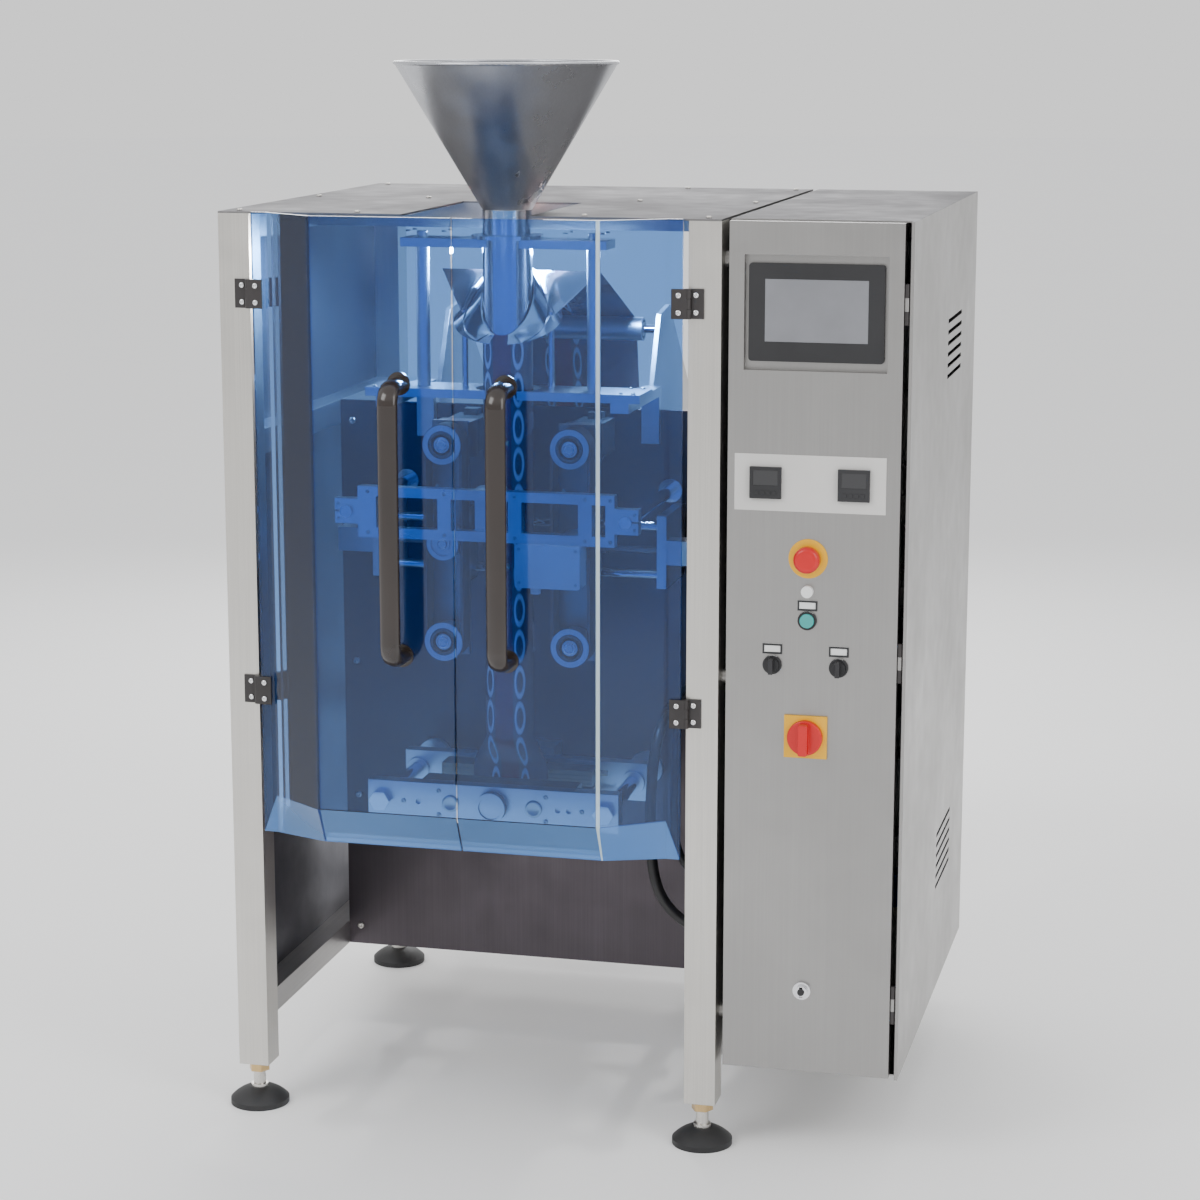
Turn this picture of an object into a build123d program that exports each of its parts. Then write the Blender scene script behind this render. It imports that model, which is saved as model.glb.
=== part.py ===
"""A vertical form fill sealer: a free-standing bagging machine with an electrical cabinet on its right side.

Film runs from a reel at the back over rollers to a forming collar, which wraps it round an upright
tube. Two belts pull it down, a bar seals the tube of film up its front, and a pair of jaws seals and cuts
off each bag.

Frame: millimetres, +Z up, the operator stands at -Y. The origin is on the floor, under the middle of
the machine.
Depths called "d" are measured back from the front face of the front posts. Offsets called "u" are measured
to the right of the forming tube's axis. at(u, d, z) turns them into a point of the frame.
"""
from build123d import *
from math import atan2, cos, pi, radians, sin, sqrt, tan
import os

os.makedirs("parts", exist_ok=True)

# ---------------------------------------------------------------- driving dimensions
frame_width = 795.0
frame_depth = 800.0
frame_top = 1458.0
post_side = 50.0
post_wall = 2.0
post_bottom = 72.0
rail_side = 40.0
rail_set_in = 6.0
sheet = 1.5
cover_sheet = 3.0

cabinet_width = 277.0
cabinet_gap = 10.0
cabinet_bottom = 139.0
cabinet_sheet = 2.0

door_bulge = 64.0
door_wing = 120.0
door_sheet = 6.0
door_bottom = 474.0
door_lip = 60.0
door_lip_set_in = 30.0
handle_standoff = 50.0
handle_depth = 20.0
handle_width = 32.0
handle_bend = 26.0
handle_low, handle_high = 780.0, 1221.0

plate_depth = 430.0
plate_thickness = 8.0
plate_low, plate_high = 147.0, 1115.0

tube_depth = 240.0
tube_radius = 40.0
tube_wall = 1.5
tube_low, tube_high = 600.0, 1455.0
funnel_radius = 177.5
funnel_top = 1688.0

film_width = 266.0
film_gauge = 0.4
film_gap = 0.4

reel_depth, reel_height, reel_radius = 980.0, 640.0, 150.0

# ---------------------------------------------------------------- clearances
running = 0.05
seat_gap = 0.5
weld_gap = 0.2
touch = 0.3

# ---------------------------------------------------------------- stations worked out from them
pad_radius = 48.0
pad_overhang = pad_radius - post_side / 2
total_width = pad_overhang + frame_width + cabinet_gap + cabinet_width
door_out = door_bulge + door_sheet + 3
front_overhang = door_out + handle_standoff + handle_depth
back_overhang = reel_depth + reel_radius - frame_depth
front_y = front_overhang - (front_overhang + frame_depth + back_overhang) / 2
frame_left = -total_width / 2 + pad_overhang
frame_right = frame_left + frame_width
tube_x = frame_left + frame_width / 2
cabinet_left = frame_right + cabinet_gap
cabinet_right = total_width / 2
cabinet_top = frame_top + cover_sheet
half_opening = frame_width / 2 - post_side
rail_inner = frame_width / 2 - rail_set_in - rail_side
panel_inner = frame_width / 2 - rail_set_in


def at(u, d, z):
    """The point u to the right of the tube, d behind the front posts' front face, at height z."""
    return (tube_x + u, front_y + d, z)


def block(u, d, z, mode=Mode.ADD):
    """A rectangular block, given by its (low, high) span in u, d and z."""
    middle = at((u[0] + u[1]) / 2, (d[0] + d[1]) / 2, (z[0] + z[1]) / 2)
    with Locations(middle):
        Box(u[1] - u[0], d[1] - d[0], z[1] - z[0], mode=mode)


TURNS = {"x": (0, 90, 0), "y": (-90, 0, 0), "z": (0, 0, 0)}


def rod(axis, start, length, radius, mode=Mode.ADD):
    """A round bar that starts at a (u, d, z) point and runs towards +X, +Y or +Z."""
    with Locations(Location(at(*start), TURNS[axis])):
        Cylinder(radius, length, align=(Align.CENTER, Align.CENTER, Align.MIN), mode=mode)


def hexagon(axis, start, length, across_flats, mode=Mode.ADD):
    """A hexagonal bar, as rod."""
    with BuildSketch(Plane(Location(at(*start), TURNS[axis]))) as outline:
        RegularPolygon(across_flats / sqrt(3), 6)
    extrude(outline.sketch, amount=length, mode=mode)


def write(piece, name):
    """Labels a finished piece and writes its STEP file."""
    piece.part.label = name
    export_step(piece.part, f"parts/{name}.step")


def both_sides(u):
    """A (low, high) span in u and its mirror image about the tube."""
    return [u, (-u[1], -u[0])]


# ================================================================ frame
half_width = frame_width / 2
post_us = [-half_width, half_width - post_side]
post_ds = [0.0, frame_depth - post_side]
foot_stem_radius = 10.0
end_plate = 6.0

with BuildPart() as frame_posts:
    for u in post_us:
        for d in post_ds:
            block((u, u + post_side), (d, d + post_side), (post_bottom, frame_top))
            block(
                (u + post_wall, u + post_side - post_wall),
                (d + post_wall, d + post_side - post_wall),
                (post_bottom + end_plate, frame_top),
                Mode.SUBTRACT,
            )
            middle = (u + post_side / 2, d + post_side / 2, post_bottom)
            rod("z", middle, end_plate, foot_stem_radius + touch, Mode.SUBTRACT)
write(frame_posts, "frame_posts")

rail_levels = [plate_low, plate_high - rail_side, frame_top - rail_side]


def square_tube(u, d, z, along):
    """A hollow square tube with open ends along X ("x") or Y ("y")."""
    block(u, d, z)
    inner = [(low + post_wall, high - post_wall) for low, high in (u, d, z)]
    inner["xy".index(along)] = (u, d)["xy".index(along)]
    block(*inner, Mode.SUBTRACT)


notch_back = tube_depth + 90.0
plate_back = plate_depth + plate_thickness
rear_rail_d = (frame_depth - post_side + 5, frame_depth - post_side + 5 + rail_side)
side_plate_low = 540.0
with BuildPart() as frame_rails:
    for u in both_sides((rail_inner, panel_inner)):
        for z in rail_levels:
            square_tube(u, (post_side, frame_depth - post_side), (z, z + rail_side), "y")
    span = (weld_gap - rail_inner, rail_inner - weld_gap)
    square_tube(span, (plate_back, plate_back + rail_side), (plate_low, plate_low + rail_side), "x")
    square_tube(span, (notch_back, notch_back + rail_side), (frame_top - rail_side, frame_top), "x")
    for low in (plate_low, side_plate_low - rail_side, frame_top - rail_side):
        square_tube((-half_opening, half_opening), rear_rail_d, (low, low + rail_side), "x")
write(frame_rails, "frame_rails")

bush_radius = 18.0
jaw_z = 501.0
jaw_rod_u = 188.0
with BuildPart() as mounting_plate:
    block((-rail_inner, rail_inner), (plate_depth, plate_depth + plate_thickness), (plate_low, plate_high))
    for u in (-jaw_rod_u, jaw_rod_u):
        rod("y", (u, plate_depth, jaw_z), plate_thickness, bush_radius, Mode.SUBTRACT)
write(mounting_plate, "mounting_plate")

notch_half = 100.0
with BuildPart() as outer_panels:
    block((-half_width, half_width), (0, frame_depth), (frame_top, frame_top + cover_sheet))
    block((-notch_half, notch_half), (0, notch_back), (frame_top, frame_top + cover_sheet), Mode.SUBTRACT)
    for u in both_sides((panel_inner, panel_inner + sheet)):
        block(u, (post_side, frame_depth - post_side), (plate_low - 17, frame_top - seat_gap))
write(outer_panels, "outer_panels")

# ================================================================ levelling feet
pad_rim, pad_height, pad_neck = 9.0, 28.0, 17.0
pocket = 10.0
nut_height = 16.0
foot_points = [(u + post_side / 2, d + post_side / 2) for u in post_us for d in post_ds]

with BuildPart() as foot_pads:
    for u, d in foot_points:
        with BuildSketch(Plane(at(u, d, 0), x_dir=(1, 0, 0), z_dir=(0, -1, 0))) as profile:
            with BuildLine():
                Polyline((0, 0), (pad_radius, 0), (pad_radius, pad_rim))
                Spline((pad_radius, pad_rim), (pad_radius * 0.72, pad_height * 0.72), (pad_neck, pad_height))
                Polyline((pad_neck, pad_height), (0, pad_height), (0, 0))
            make_face()
        revolve(profile.sketch, axis=Axis(at(u, d, 0), (0, 0, 1)))
        rod("z", (u, d, pad_height - pocket), pocket, foot_stem_radius + running, Mode.SUBTRACT)
write(foot_pads, "foot_pads")

with BuildPart() as foot_stems:
    for u, d in foot_points:
        rod("z", (u, d, pad_height - pocket), post_bottom + 40 - pad_height + pocket, foot_stem_radius)
        hexagon("z", (u, d, post_bottom - nut_height), nut_height, 30)
        rod("z", (u, d, pad_height), 5, foot_stem_radius + 4)
write(foot_stems, "foot_stems")

# ================================================================ shelf, bridge, tube, collar and funnel
shelf_z = 1155.0
shelf_plate = 14.0
shelf_half = 228.0
shelf_span = (tube_depth - 45, tube_depth + 45)
arm_half_width = 15.0
arm_u = 195.0
shelf_hole = tube_radius + 12

with BuildPart() as forming_shelf:
    block((-shelf_half, shelf_half), shelf_span, (shelf_z, shelf_z + shelf_plate))
    for u in (-arm_u, arm_u):
        span = (u - arm_half_width, u + arm_half_width)
        block(span, (shelf_span[0], plate_depth), (shelf_z - 16, shelf_z))
        block(span, (plate_depth - 16, plate_depth), (shelf_z - 95, shelf_z))
    rod("z", (0, tube_depth, shelf_z), shelf_plate, shelf_hole, Mode.SUBTRACT)
write(forming_shelf, "forming_shelf")

bridge_z = 1395.0
bridge_half = 170.0
column_u = 142.0
column_radius = 11.0
with BuildPart() as forming_bridge:
    block((-bridge_half, bridge_half), (tube_depth - 30, tube_depth + 30), (bridge_z, bridge_z + shelf_plate))
    rod("z", (0, tube_depth, bridge_z), shelf_plate, tube_radius + touch, Mode.SUBTRACT)
    for u in (-column_u, column_u):
        rod("z", (u, tube_depth, shelf_z + shelf_plate), bridge_z - shelf_z - shelf_plate, column_radius)
        rod("z", (u, tube_depth, bridge_z + shelf_plate), 10, 9)
write(forming_bridge, "forming_bridge")

flange_radius = 58.0
flange_z = bridge_z + shelf_plate
with BuildPart() as forming_tube:
    rod("z", (0, tube_depth, tube_low), tube_high - tube_low, tube_radius)
    rod("z", (0, tube_depth, flange_z), 6, flange_radius)
    rod("z", (0, tube_depth, tube_low), tube_high - tube_low, tube_radius - tube_wall, Mode.SUBTRACT)
write(forming_tube, "forming_tube")

neck_length = 40.0
neck_outer = tube_radius - tube_wall - seat_gap
neck_inner = neck_outer - tube_wall
rim_radius = 3.0
funnel_rise = funnel_top - rim_radius - tube_high
funnel_slope = (funnel_radius - tube_radius) / funnel_rise
funnel_skin = tube_wall * sqrt(1 + funnel_slope**2)
with BuildPart() as funnel:
    with BuildSketch(Plane(at(0, tube_depth, 0), x_dir=(1, 0, 0), z_dir=(0, -1, 0))) as profile:
        Polygon(
            (neck_inner, tube_high - neck_length),
            (neck_outer, tube_high - neck_length),
            (neck_outer, tube_high),
            (tube_radius, tube_high),
            (funnel_radius, tube_high + funnel_rise),
            (funnel_radius - funnel_skin, tube_high + funnel_rise),
            (neck_inner, tube_high - (tube_radius - funnel_skin - neck_inner) / funnel_slope),
            align=None,
        )
    revolve(profile.sketch, axis=Axis(at(0, tube_depth, 0), (0, 0, 1)))
    with Locations(at(0, tube_depth, funnel_top - rim_radius)):
        Torus(funnel_radius - rim_radius / 2, rim_radius)
write(funnel, "funnel")

# The collar is a steel shoulder. Its ridge leans steeply, low at the front, and its skirt flares out and
# down from the ridge to a flatter outer edge. It's open in a V at the front.
collar_z = 1315.0
ridge_lean = 54.0
skirt_lean = 30.0
collar_bore = tube_radius + 2.0
collar_edge = collar_bore + 1.5
skirt_reach = 88.0
skirt_depth = 70.0
skirt_drop = 35.0
skirt_skin = 2.2
leg_u, leg_radius = 72.0, 5.0


def collar_plane(z, lean):
    """A plane that leans back by so many degrees and crosses the tube's axis at height z."""
    return Plane(at(0, tube_depth, z), x_dir=(1, 0, 0), z_dir=(0, -sin(radians(lean)), cos(radians(lean))))


def skirt(z, mode):
    """The solid under the skirt's upper surface."""
    with BuildSketch(collar_plane(z, ridge_lean)) as ridge:
        Ellipse(collar_edge, collar_edge / cos(radians(ridge_lean)))
    with BuildSketch(collar_plane(z - skirt_drop, skirt_lean)) as outer_edge:
        Ellipse(skirt_reach, skirt_depth)
    loft([ridge.sketch, outer_edge.sketch], mode=mode)


with BuildPart() as forming_collar:
    skirt(collar_z, Mode.ADD)
    skirt(collar_z - skirt_skin, Mode.SUBTRACT)
    leg_top = collar_z - skirt_drop * (leg_u - collar_edge) / (skirt_reach - collar_edge)
    for u in (-leg_u, leg_u):
        rod("z", (u, tube_depth, shelf_z + shelf_plate), leg_top - shelf_z - shelf_plate, leg_radius)
    rod("z", (0, tube_depth, shelf_z), 300, collar_bore, Mode.SUBTRACT)
    with BuildSketch(Plane(at(0, 0, 0), x_dir=(1, 0, 0), z_dir=(0, -1, 0))) as notch:
        Polygon((0, collar_z - 20), (-34, collar_z - 130), (34, collar_z - 130), align=None)
    extrude(notch.sketch, amount=-(tube_depth - 25), mode=Mode.SUBTRACT)
write(forming_collar, "forming_collar")

# ================================================================ pull belts
belt_u = 107.0
belt_pulley = 28.0
belt_gauge = 5.0
belt_top, belt_low, tension_z = 1075.0, 749.0, 912.0
pulley_half = 20.0
hub_bore = 6.0
unit_plate_d = (tube_depth + 26, tube_depth + 36)
unit_half = 30.0
slide_zs = (860.0, 940.0)
slide_d = 310.0
slide_radius = 8.0
slide_half = 235.0
bearing_d = (unit_plate_d[1], 335.0)
bracket_thickness = 16.0
belt_stroke = belt_u - belt_pulley - belt_gauge - tube_radius - film_gap - film_gauge - seat_gap
pulley_cap = 32.0


def belt_unit(side):
    """One belt unit: back plate, pulley axles, pressing wheel, slide bearing, motor and piston rod."""
    u = side * belt_u
    with BuildPart() as unit:
        block((u - unit_half, u + unit_half), unit_plate_d, (belt_low - 30, belt_top + 34))
        block((u - 25, u + 25), bearing_d, (slide_zs[0] - 22, slide_zs[1] + 22))
        for z in (belt_low, tension_z, belt_top):
            start = tube_depth - pulley_half - 6
            rod("y", (u, start, z), unit_plate_d[0] - start, hub_bore)
            rod("y", (u, unit_plate_d[0] - 4, z), 4, hub_bore + 5)
        front = tube_depth - pulley_half - 3
        rod("y", (u, front, tension_z), unit_plate_d[0] - front - 4, belt_pulley - 1)
        rod("y", (u, front, tension_z), 4, belt_pulley - 8, Mode.SUBTRACT)
        rod("y", (u, front, tension_z), 5, 12)
        for z in slide_zs:
            rod("x", (u - 40, slide_d, z), 80, slide_radius + running, Mode.SUBTRACT)
        motor_d = (unit_plate_d[1] + 54, plate_depth - 14)
        block((u - 30, u + 30), (unit_plate_d[1], unit_plate_d[1] + 48), (belt_top - 30, belt_top + 30))
        rod("y", (u, unit_plate_d[1] + 48, belt_top), 6, 28)
        block((u - 27, u + 27), motor_d, (belt_top - 27, belt_top + 27))
        block((u - 12, u + 12), (motor_d[1] - 30, motor_d[1] - 6), (belt_top + 27, belt_top + 38))
        inner, outer = belt_u + 25, slide_half + bracket_thickness + 45
        rod("x", (min(side * inner, side * outer), slide_d, 900), outer - inner, 5 - running)
        rod("x", (min(side * inner, side * (inner + 14)), slide_d, 900), 14, 9)
    return unit


def pulley(side, z):
    """A flanged belt pulley with a hollow front face."""
    u = side * belt_u
    with BuildPart() as wheel:
        rod("y", (u, tube_depth - pulley_half, z), 2 * pulley_half, belt_pulley)
        rod("y", (u, tube_depth - pulley_half - 3, z), 3, pulley_cap)
        rod("y", (u, tube_depth - pulley_half - 3, z), 5, belt_pulley - 7, Mode.SUBTRACT)
        rod("y", (u, tube_depth - pulley_half - 3, z), 7, 13)
        rod("y", (u, tube_depth - pulley_half - 3, z), 2 * pulley_half + 6, hub_bore + running, Mode.SUBTRACT)
    return wheel


def belt(side):
    """A flat belt round the top and bottom pulleys, with its inner face touch away from them."""
    u = side * belt_u
    with BuildPart() as loop:
        inner = belt_pulley + touch
        for radius, mode in ((inner + belt_gauge, Mode.ADD), (inner, Mode.SUBTRACT)):
            middle = at(u, tube_depth, (belt_top + belt_low) / 2)
            with BuildSketch(Plane(middle, x_dir=(0, 0, 1), z_dir=(0, 1, 0))) as side_view:
                SlotCenterToCenter(belt_top - belt_low, 2 * radius)
            extrude(side_view.sketch, amount=pulley_half - 1, both=True, mode=mode)
    return loop


for side, word in ((-1, "left"), (1, "right")):
    write(belt_unit(side), f"belt_unit_{word}")
    write(belt(side), f"pull_belt_{word}")
    write(pulley(side, belt_top), f"drive_pulley_{word}")
    write(pulley(side, belt_low), f"return_pulley_{word}")

# ================================================================ front cross plate and vertical sealer
cross_half = 210.5
cross_span = (97.0, 117.0)
cross_z = (941.0, 1023.0)
cross_mid = (cross_z[0] + cross_z[1]) / 2
ear_reach = 249.0
support_u = 229.0
support_radius = 10.0
windows = ((-180.0, -78.0), (-56.0, 38.0), (60.0, 152.0), (174.0, 196.0))

with BuildPart() as guide_rods:
    for u in (-support_u, support_u):
        rod("y", (u, cross_span[0] - 6, cross_mid), plate_depth - cross_span[0] + 6, support_radius)
        rod("y", (u, plate_depth - 14, cross_mid), 14, support_radius + 10)
    for z in slide_zs:
        rod("x", (-slide_half, slide_d, z), 2 * slide_half, slide_radius)
write(guide_rods, "guide_rods")

with BuildPart() as cross_plate:
    block((-cross_half, cross_half), cross_span, cross_z)
    block((-ear_reach, ear_reach), cross_span, (cross_mid - 20, cross_mid + 20))
    for span in windows:
        block(span, cross_span, (cross_mid - 25, cross_mid + 25), Mode.SUBTRACT)
    for side in (-1, 1):
        rod("y", (side * support_u, cross_span[0], cross_mid), 20, support_radius + running, Mode.SUBTRACT)
        slit = sorted((side * (support_u + support_radius - 2), side * ear_reach))
        block(slit, cross_span, (cross_mid - 1.5, cross_mid + 1.5), Mode.SUBTRACT)
write(cross_plate, "cross_plate")

sealer_cylinder_d = (cross_span[1], 150.0)
sealer_half = 10.0
seal_rib = 1.5
sealer_span = (166.0, 184.0)
sealer_z = (858.0, 1118.0)
film_outer = tube_radius + film_gap + film_gauge
sealer_stroke = tube_depth - film_outer - sealer_span[1] - seat_gap
with BuildPart() as vertical_sealer:
    block((-sealer_half, sealer_half), sealer_span, sealer_z)
    block((-4, 4), (sealer_span[1], sealer_span[1] + seal_rib), (sealer_z[0] + 10, sealer_z[1] - 10))
    for z in (cross_mid - 24, cross_mid + 24):
        rod("y", (0, sealer_cylinder_d[0] + 4, z), sealer_span[0] - sealer_cylinder_d[0] - 4, 5 - running)
        rod("y", (0, sealer_span[0] - 6, z), 6, 9)
    for z in (sealer_z[0] + 30, sealer_z[1] - 30):
        rod("x", (-sealer_half - 8, sum(sealer_span) / 2, z), 2 * sealer_half + 16, 4)
write(vertical_sealer, "vertical_sealer")

with BuildPart() as sensor_box:
    block((51, 157), (cross_span[0] - 10, cross_span[1] + 10), (872, cross_z[0]))
    fillet(sensor_box.edges().filter_by(Axis.Y), 4)
    rod("z", (80, sum(cross_span) / 2, 860), 12, 8)
write(sensor_box, "sensor_box")

# ================================================================ cross jaws
jaw_rod_radius = 12.5
carrier_half = 210.5
carrier_z = (jaw_z - 32, jaw_z + 32)
front_carrier_d = (126.0, 151.0)
jaw_half = 130.0
jaw_z_span = (jaw_z - 28, jaw_z + 28)
knife_slot = 2.0
jaw_gap = 35.0
front_jaw_d = (161.0, tube_depth - jaw_gap)
rear_jaw_d = (tube_depth + jaw_gap, 319.0)
rear_carrier_d = (329.0, 354.0)
yoke_d = (610.0, 632.0)
jaw_stroke = jaw_gap - 1.5
knife_rod_radius = 1.4
knife_cylinder_d = 112.0


def carrier_pattern():
    """The four spacers' places between a carrier and its jaw."""
    return [(u, z) for u in (-90, 90) for z in (jaw_z - 15, jaw_z + 15)]


def serrations(face_d, direction, mode):
    """Sealing ribs along a jaw's face, above and below the knife slot."""
    for row in (-1, 1):
        for rib in range(3):
            z = jaw_z + row * (8 + 7 * rib)
            low, high = sorted((face_d, face_d + direction * 1.0))
            block((-jaw_half + 3, jaw_half - 3), (low, high), (z - 2, z + 2), mode)


with BuildPart() as front_carrier:
    block((-carrier_half, carrier_half), front_carrier_d, carrier_z)
    for u in (-jaw_rod_u, jaw_rod_u):
        rod("y", (u, front_carrier_d[0], jaw_z), 25, jaw_rod_radius, Mode.SUBTRACT)
    for u in (-125, 110, 128):
        rod("y", (u, front_carrier_d[0], jaw_z), 6, 4.5, Mode.SUBTRACT)
    rod("y", (0, knife_cylinder_d, jaw_z), front_carrier_d[1] - knife_cylinder_d, 25)
    rod("y", (0, knife_cylinder_d, jaw_z), 3, 19, Mode.SUBTRACT)
    rod("y", (0, knife_cylinder_d + 6, jaw_z), front_carrier_d[1], knife_rod_radius + running, Mode.SUBTRACT)
write(front_carrier, "front_carrier")

piston_start = plate_back + 50
with BuildPart() as jaw_rods:
    block((-carrier_half, carrier_half), yoke_d, carrier_z)
    for u in (-jaw_rod_u, jaw_rod_u):
        rod("y", (u, front_carrier_d[0] - 8, jaw_z), yoke_d[1] - front_carrier_d[0] + 8, jaw_rod_radius)
        hexagon("y", (u, front_carrier_d[0] - 14, jaw_z), 14, 30)
    rod("y", (0, piston_start, jaw_z), yoke_d[0] - piston_start, 10 - running)
    rod("y", (0, yoke_d[0] - 12, jaw_z), 12, 17)
write(jaw_rods, "jaw_rods")

with BuildPart() as front_jaw:
    block((-jaw_half, jaw_half), front_jaw_d, jaw_z_span)
    serrations(front_jaw_d[1], -1, Mode.SUBTRACT)
    slot_z = (jaw_z - knife_slot, jaw_z + knife_slot)
    block((-jaw_half, jaw_half), (front_jaw_d[1] - 40, front_jaw_d[1]), slot_z, Mode.SUBTRACT)
    rod("y", (0, front_jaw_d[0], jaw_z), 10, 6, Mode.SUBTRACT)
    for u, z in carrier_pattern():
        rod("y", (u, front_carrier_d[1], z), 10, 9)
    for z in (jaw_z - 20, jaw_z + 20):
        rod("x", (jaw_half, 180, z), 20, 5)
write(front_jaw, "front_jaw")

with BuildPart() as rear_jaw:
    block((-jaw_half, jaw_half), rear_jaw_d, jaw_z_span)
    serrations(rear_jaw_d[0], 1, Mode.SUBTRACT)
    block((-jaw_half, jaw_half), (rear_jaw_d[0], rear_jaw_d[0] + 24), slot_z, Mode.SUBTRACT)
    for u, z in carrier_pattern():
        rod("y", (u, rear_jaw_d[1], z), 10, 9)
    for z in (jaw_z - 20, jaw_z + 20):
        rod("x", (jaw_half, 300, z), 20, 5)
    block((-carrier_half, carrier_half), rear_carrier_d, carrier_z)
    for u in (-jaw_rod_u, jaw_rod_u):
        rod("y", (u, rear_carrier_d[0] - 8, jaw_z), 41, 20)
        rod("y", (u, rear_carrier_d[0] - 8, jaw_z), 41, jaw_rod_radius + running, Mode.SUBTRACT)
    rod("y", (0, rear_carrier_d[1], jaw_z), 72, 8 - running)
    rod("y", (0, rear_carrier_d[1], jaw_z), 8, 16)
write(rear_jaw, "rear_jaw")

knife_travel = 22.0
blade_half = 120.0
with BuildPart() as knife:
    block((-blade_half, blade_half), (front_jaw_d[1] - 26, front_jaw_d[1] - 3), (jaw_z - 0.75, jaw_z + 0.75))
    back = front_jaw_d[1] - 26
    for tooth in range(24):
        low = -blade_half + tooth * 2 * blade_half / 24
        with BuildSketch(Plane(at(0, 0, jaw_z - 0.75))) as bite:
            Polygon((low, back + 23), (low + 10, back + 23), (low + 5, back + 18), align=None)
        extrude(bite.sketch, amount=1.5, mode=Mode.SUBTRACT)
    rod("y", (0, knife_cylinder_d + 8, jaw_z), back - knife_cylinder_d - 8, knife_rod_radius)
write(knife, "knife")

with BuildPart() as rod_brackets:
    for u in (-jaw_rod_u, jaw_rod_u):
        rod("y", (u, plate_depth - 12, jaw_z), plate_thickness + 60, bush_radius - touch)
        rod("y", (u, plate_depth - 12, jaw_z), 12, bush_radius + 11)
        rod("y", (u, plate_depth - 12, jaw_z), plate_thickness + 60, jaw_rod_radius + running, Mode.SUBTRACT)
    for u in both_sides((slide_half, slide_half + bracket_thickness)):
        block(u, (slide_d - 20, plate_depth), (slide_zs[0] - 20, slide_zs[1] + 20))
        rod("x", (u[0], slide_d, 900), bracket_thickness, 12, Mode.SUBTRACT)
write(rod_brackets, "rod_brackets")

cylinder_half = 37.5
slide_cylinder_length = 60.0
with BuildPart() as air_cylinders:
    barrel_z = (jaw_z - cylinder_half, jaw_z + cylinder_half)
    block((-cylinder_half, cylinder_half), (plate_back, plate_back + 110), barrel_z)
    rod("y", (0, plate_back + 40, jaw_z), 70, 10, Mode.SUBTRACT)
    block((-cylinder_half, cylinder_half), (plate_depth - 50, plate_depth), barrel_z)
    rod("y", (0, plate_depth - 50, jaw_z), 48, 8, Mode.SUBTRACT)
    for side in (-1, 1):
        near, far = slide_half + bracket_thickness, slide_half + bracket_thickness + slide_cylinder_length
        low = min(side * near, side * far)
        block((low, low + slide_cylinder_length), (slide_d - 20, slide_d + 20), (880, 920))
        nose = min(side * near, side * (near - 12))
        rod("x", (nose, slide_d, 900), 12, 12 - touch)
        rod("x", (min(low, nose), slide_d, 900), slide_cylinder_length + 12, 5, Mode.SUBTRACT)
    block((-22, 22), sealer_cylinder_d, (cross_z[0], cross_z[1]))
    for z in (cross_mid - 24, cross_mid + 24):
        rod("y", (0, sealer_cylinder_d[0], z), 33, 5, Mode.SUBTRACT)
write(air_cylinders, "air_cylinders")

# ================================================================ film, rollers and reel
side_plate_u = (181.0, 189.0)
roller_radius = 20.0
roller_half = 150.0
shaft_radius = 7.0
idlers = {"idler_rear": (840.0, 960.0), "idler_top": (560.0, 1235.0)}
pivot = (560.0, 620.0)
dancer_at = (715.0, 620.0)
pivot_radius = 8.0
reel_shaft_radius = 15.0
core_radius = 38.0

with BuildPart() as film_side_plates:
    for u in both_sides(side_plate_u):
        with BuildSketch(Plane(at(u[0], 0, 0), x_dir=(0, 1, 0), z_dir=(1, 0, 0))) as outline:
            Polygon(
                (plate_back, side_plate_low + 60),
                (plate_back, plate_high - 20),
                (idlers["idler_top"][0] - 40, idlers["idler_top"][1] + 30),
                (idlers["idler_top"][0] + 30, idlers["idler_top"][1] + 40),
                (idlers["idler_rear"][0] + 40, idlers["idler_rear"][1] + 30),
                (idlers["idler_rear"][0] + 60, idlers["idler_rear"][1] - 60),
                (reel_depth + 34, reel_height + 40),
                (reel_depth + 34, reel_height - 40),
                (frame_depth, side_plate_low),
                (plate_back + 60, side_plate_low),
                align=None,
            )
            with Locations((reel_depth, reel_height)):
                Circle(reel_shaft_radius + running, mode=Mode.SUBTRACT)
            with Locations((reel_depth, reel_height + 60)):
                Rectangle(2 * (reel_shaft_radius + running), 120, mode=Mode.SUBTRACT)
            with Locations((idlers["idler_rear"][0] - 130, 880)):
                SlotOverall(190, 90, rotation=-50, mode=Mode.SUBTRACT)
            with Locations((plate_back + 95, 900)):
                SlotOverall(240, 80, rotation=90, mode=Mode.SUBTRACT)
        extrude(outline.sketch, amount=u[1] - u[0])
write(film_side_plates, "film_side_plates")

with BuildPart() as roller_shafts:
    for d, z in idlers.values():
        rod("x", (-side_plate_u[0], d, z), 2 * side_plate_u[0], shaft_radius)
    rod("x", (-side_plate_u[0], *pivot), 2 * side_plate_u[0], pivot_radius)
write(roller_shafts, "roller_shafts")


def roller(d, z):
    """A film roller that turns on a fixed shaft, with a stepped hub at each end."""
    with BuildPart() as drum:
        rod("x", (-roller_half, d, z), 2 * roller_half, roller_radius)
        for u in (-roller_half, roller_half - 12):
            rod("x", (u, d, z), 12, roller_radius - 4, Mode.SUBTRACT)
            rod("x", (u, d, z), 12, shaft_radius + 5)
        rod("x", (-roller_half, d, z), 2 * roller_half, shaft_radius + running, Mode.SUBTRACT)
    return drum


for name, (d, z) in idlers.items():
    write(roller(d, z), name)
write(roller(*dancer_at), "dancer_roller")

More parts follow.
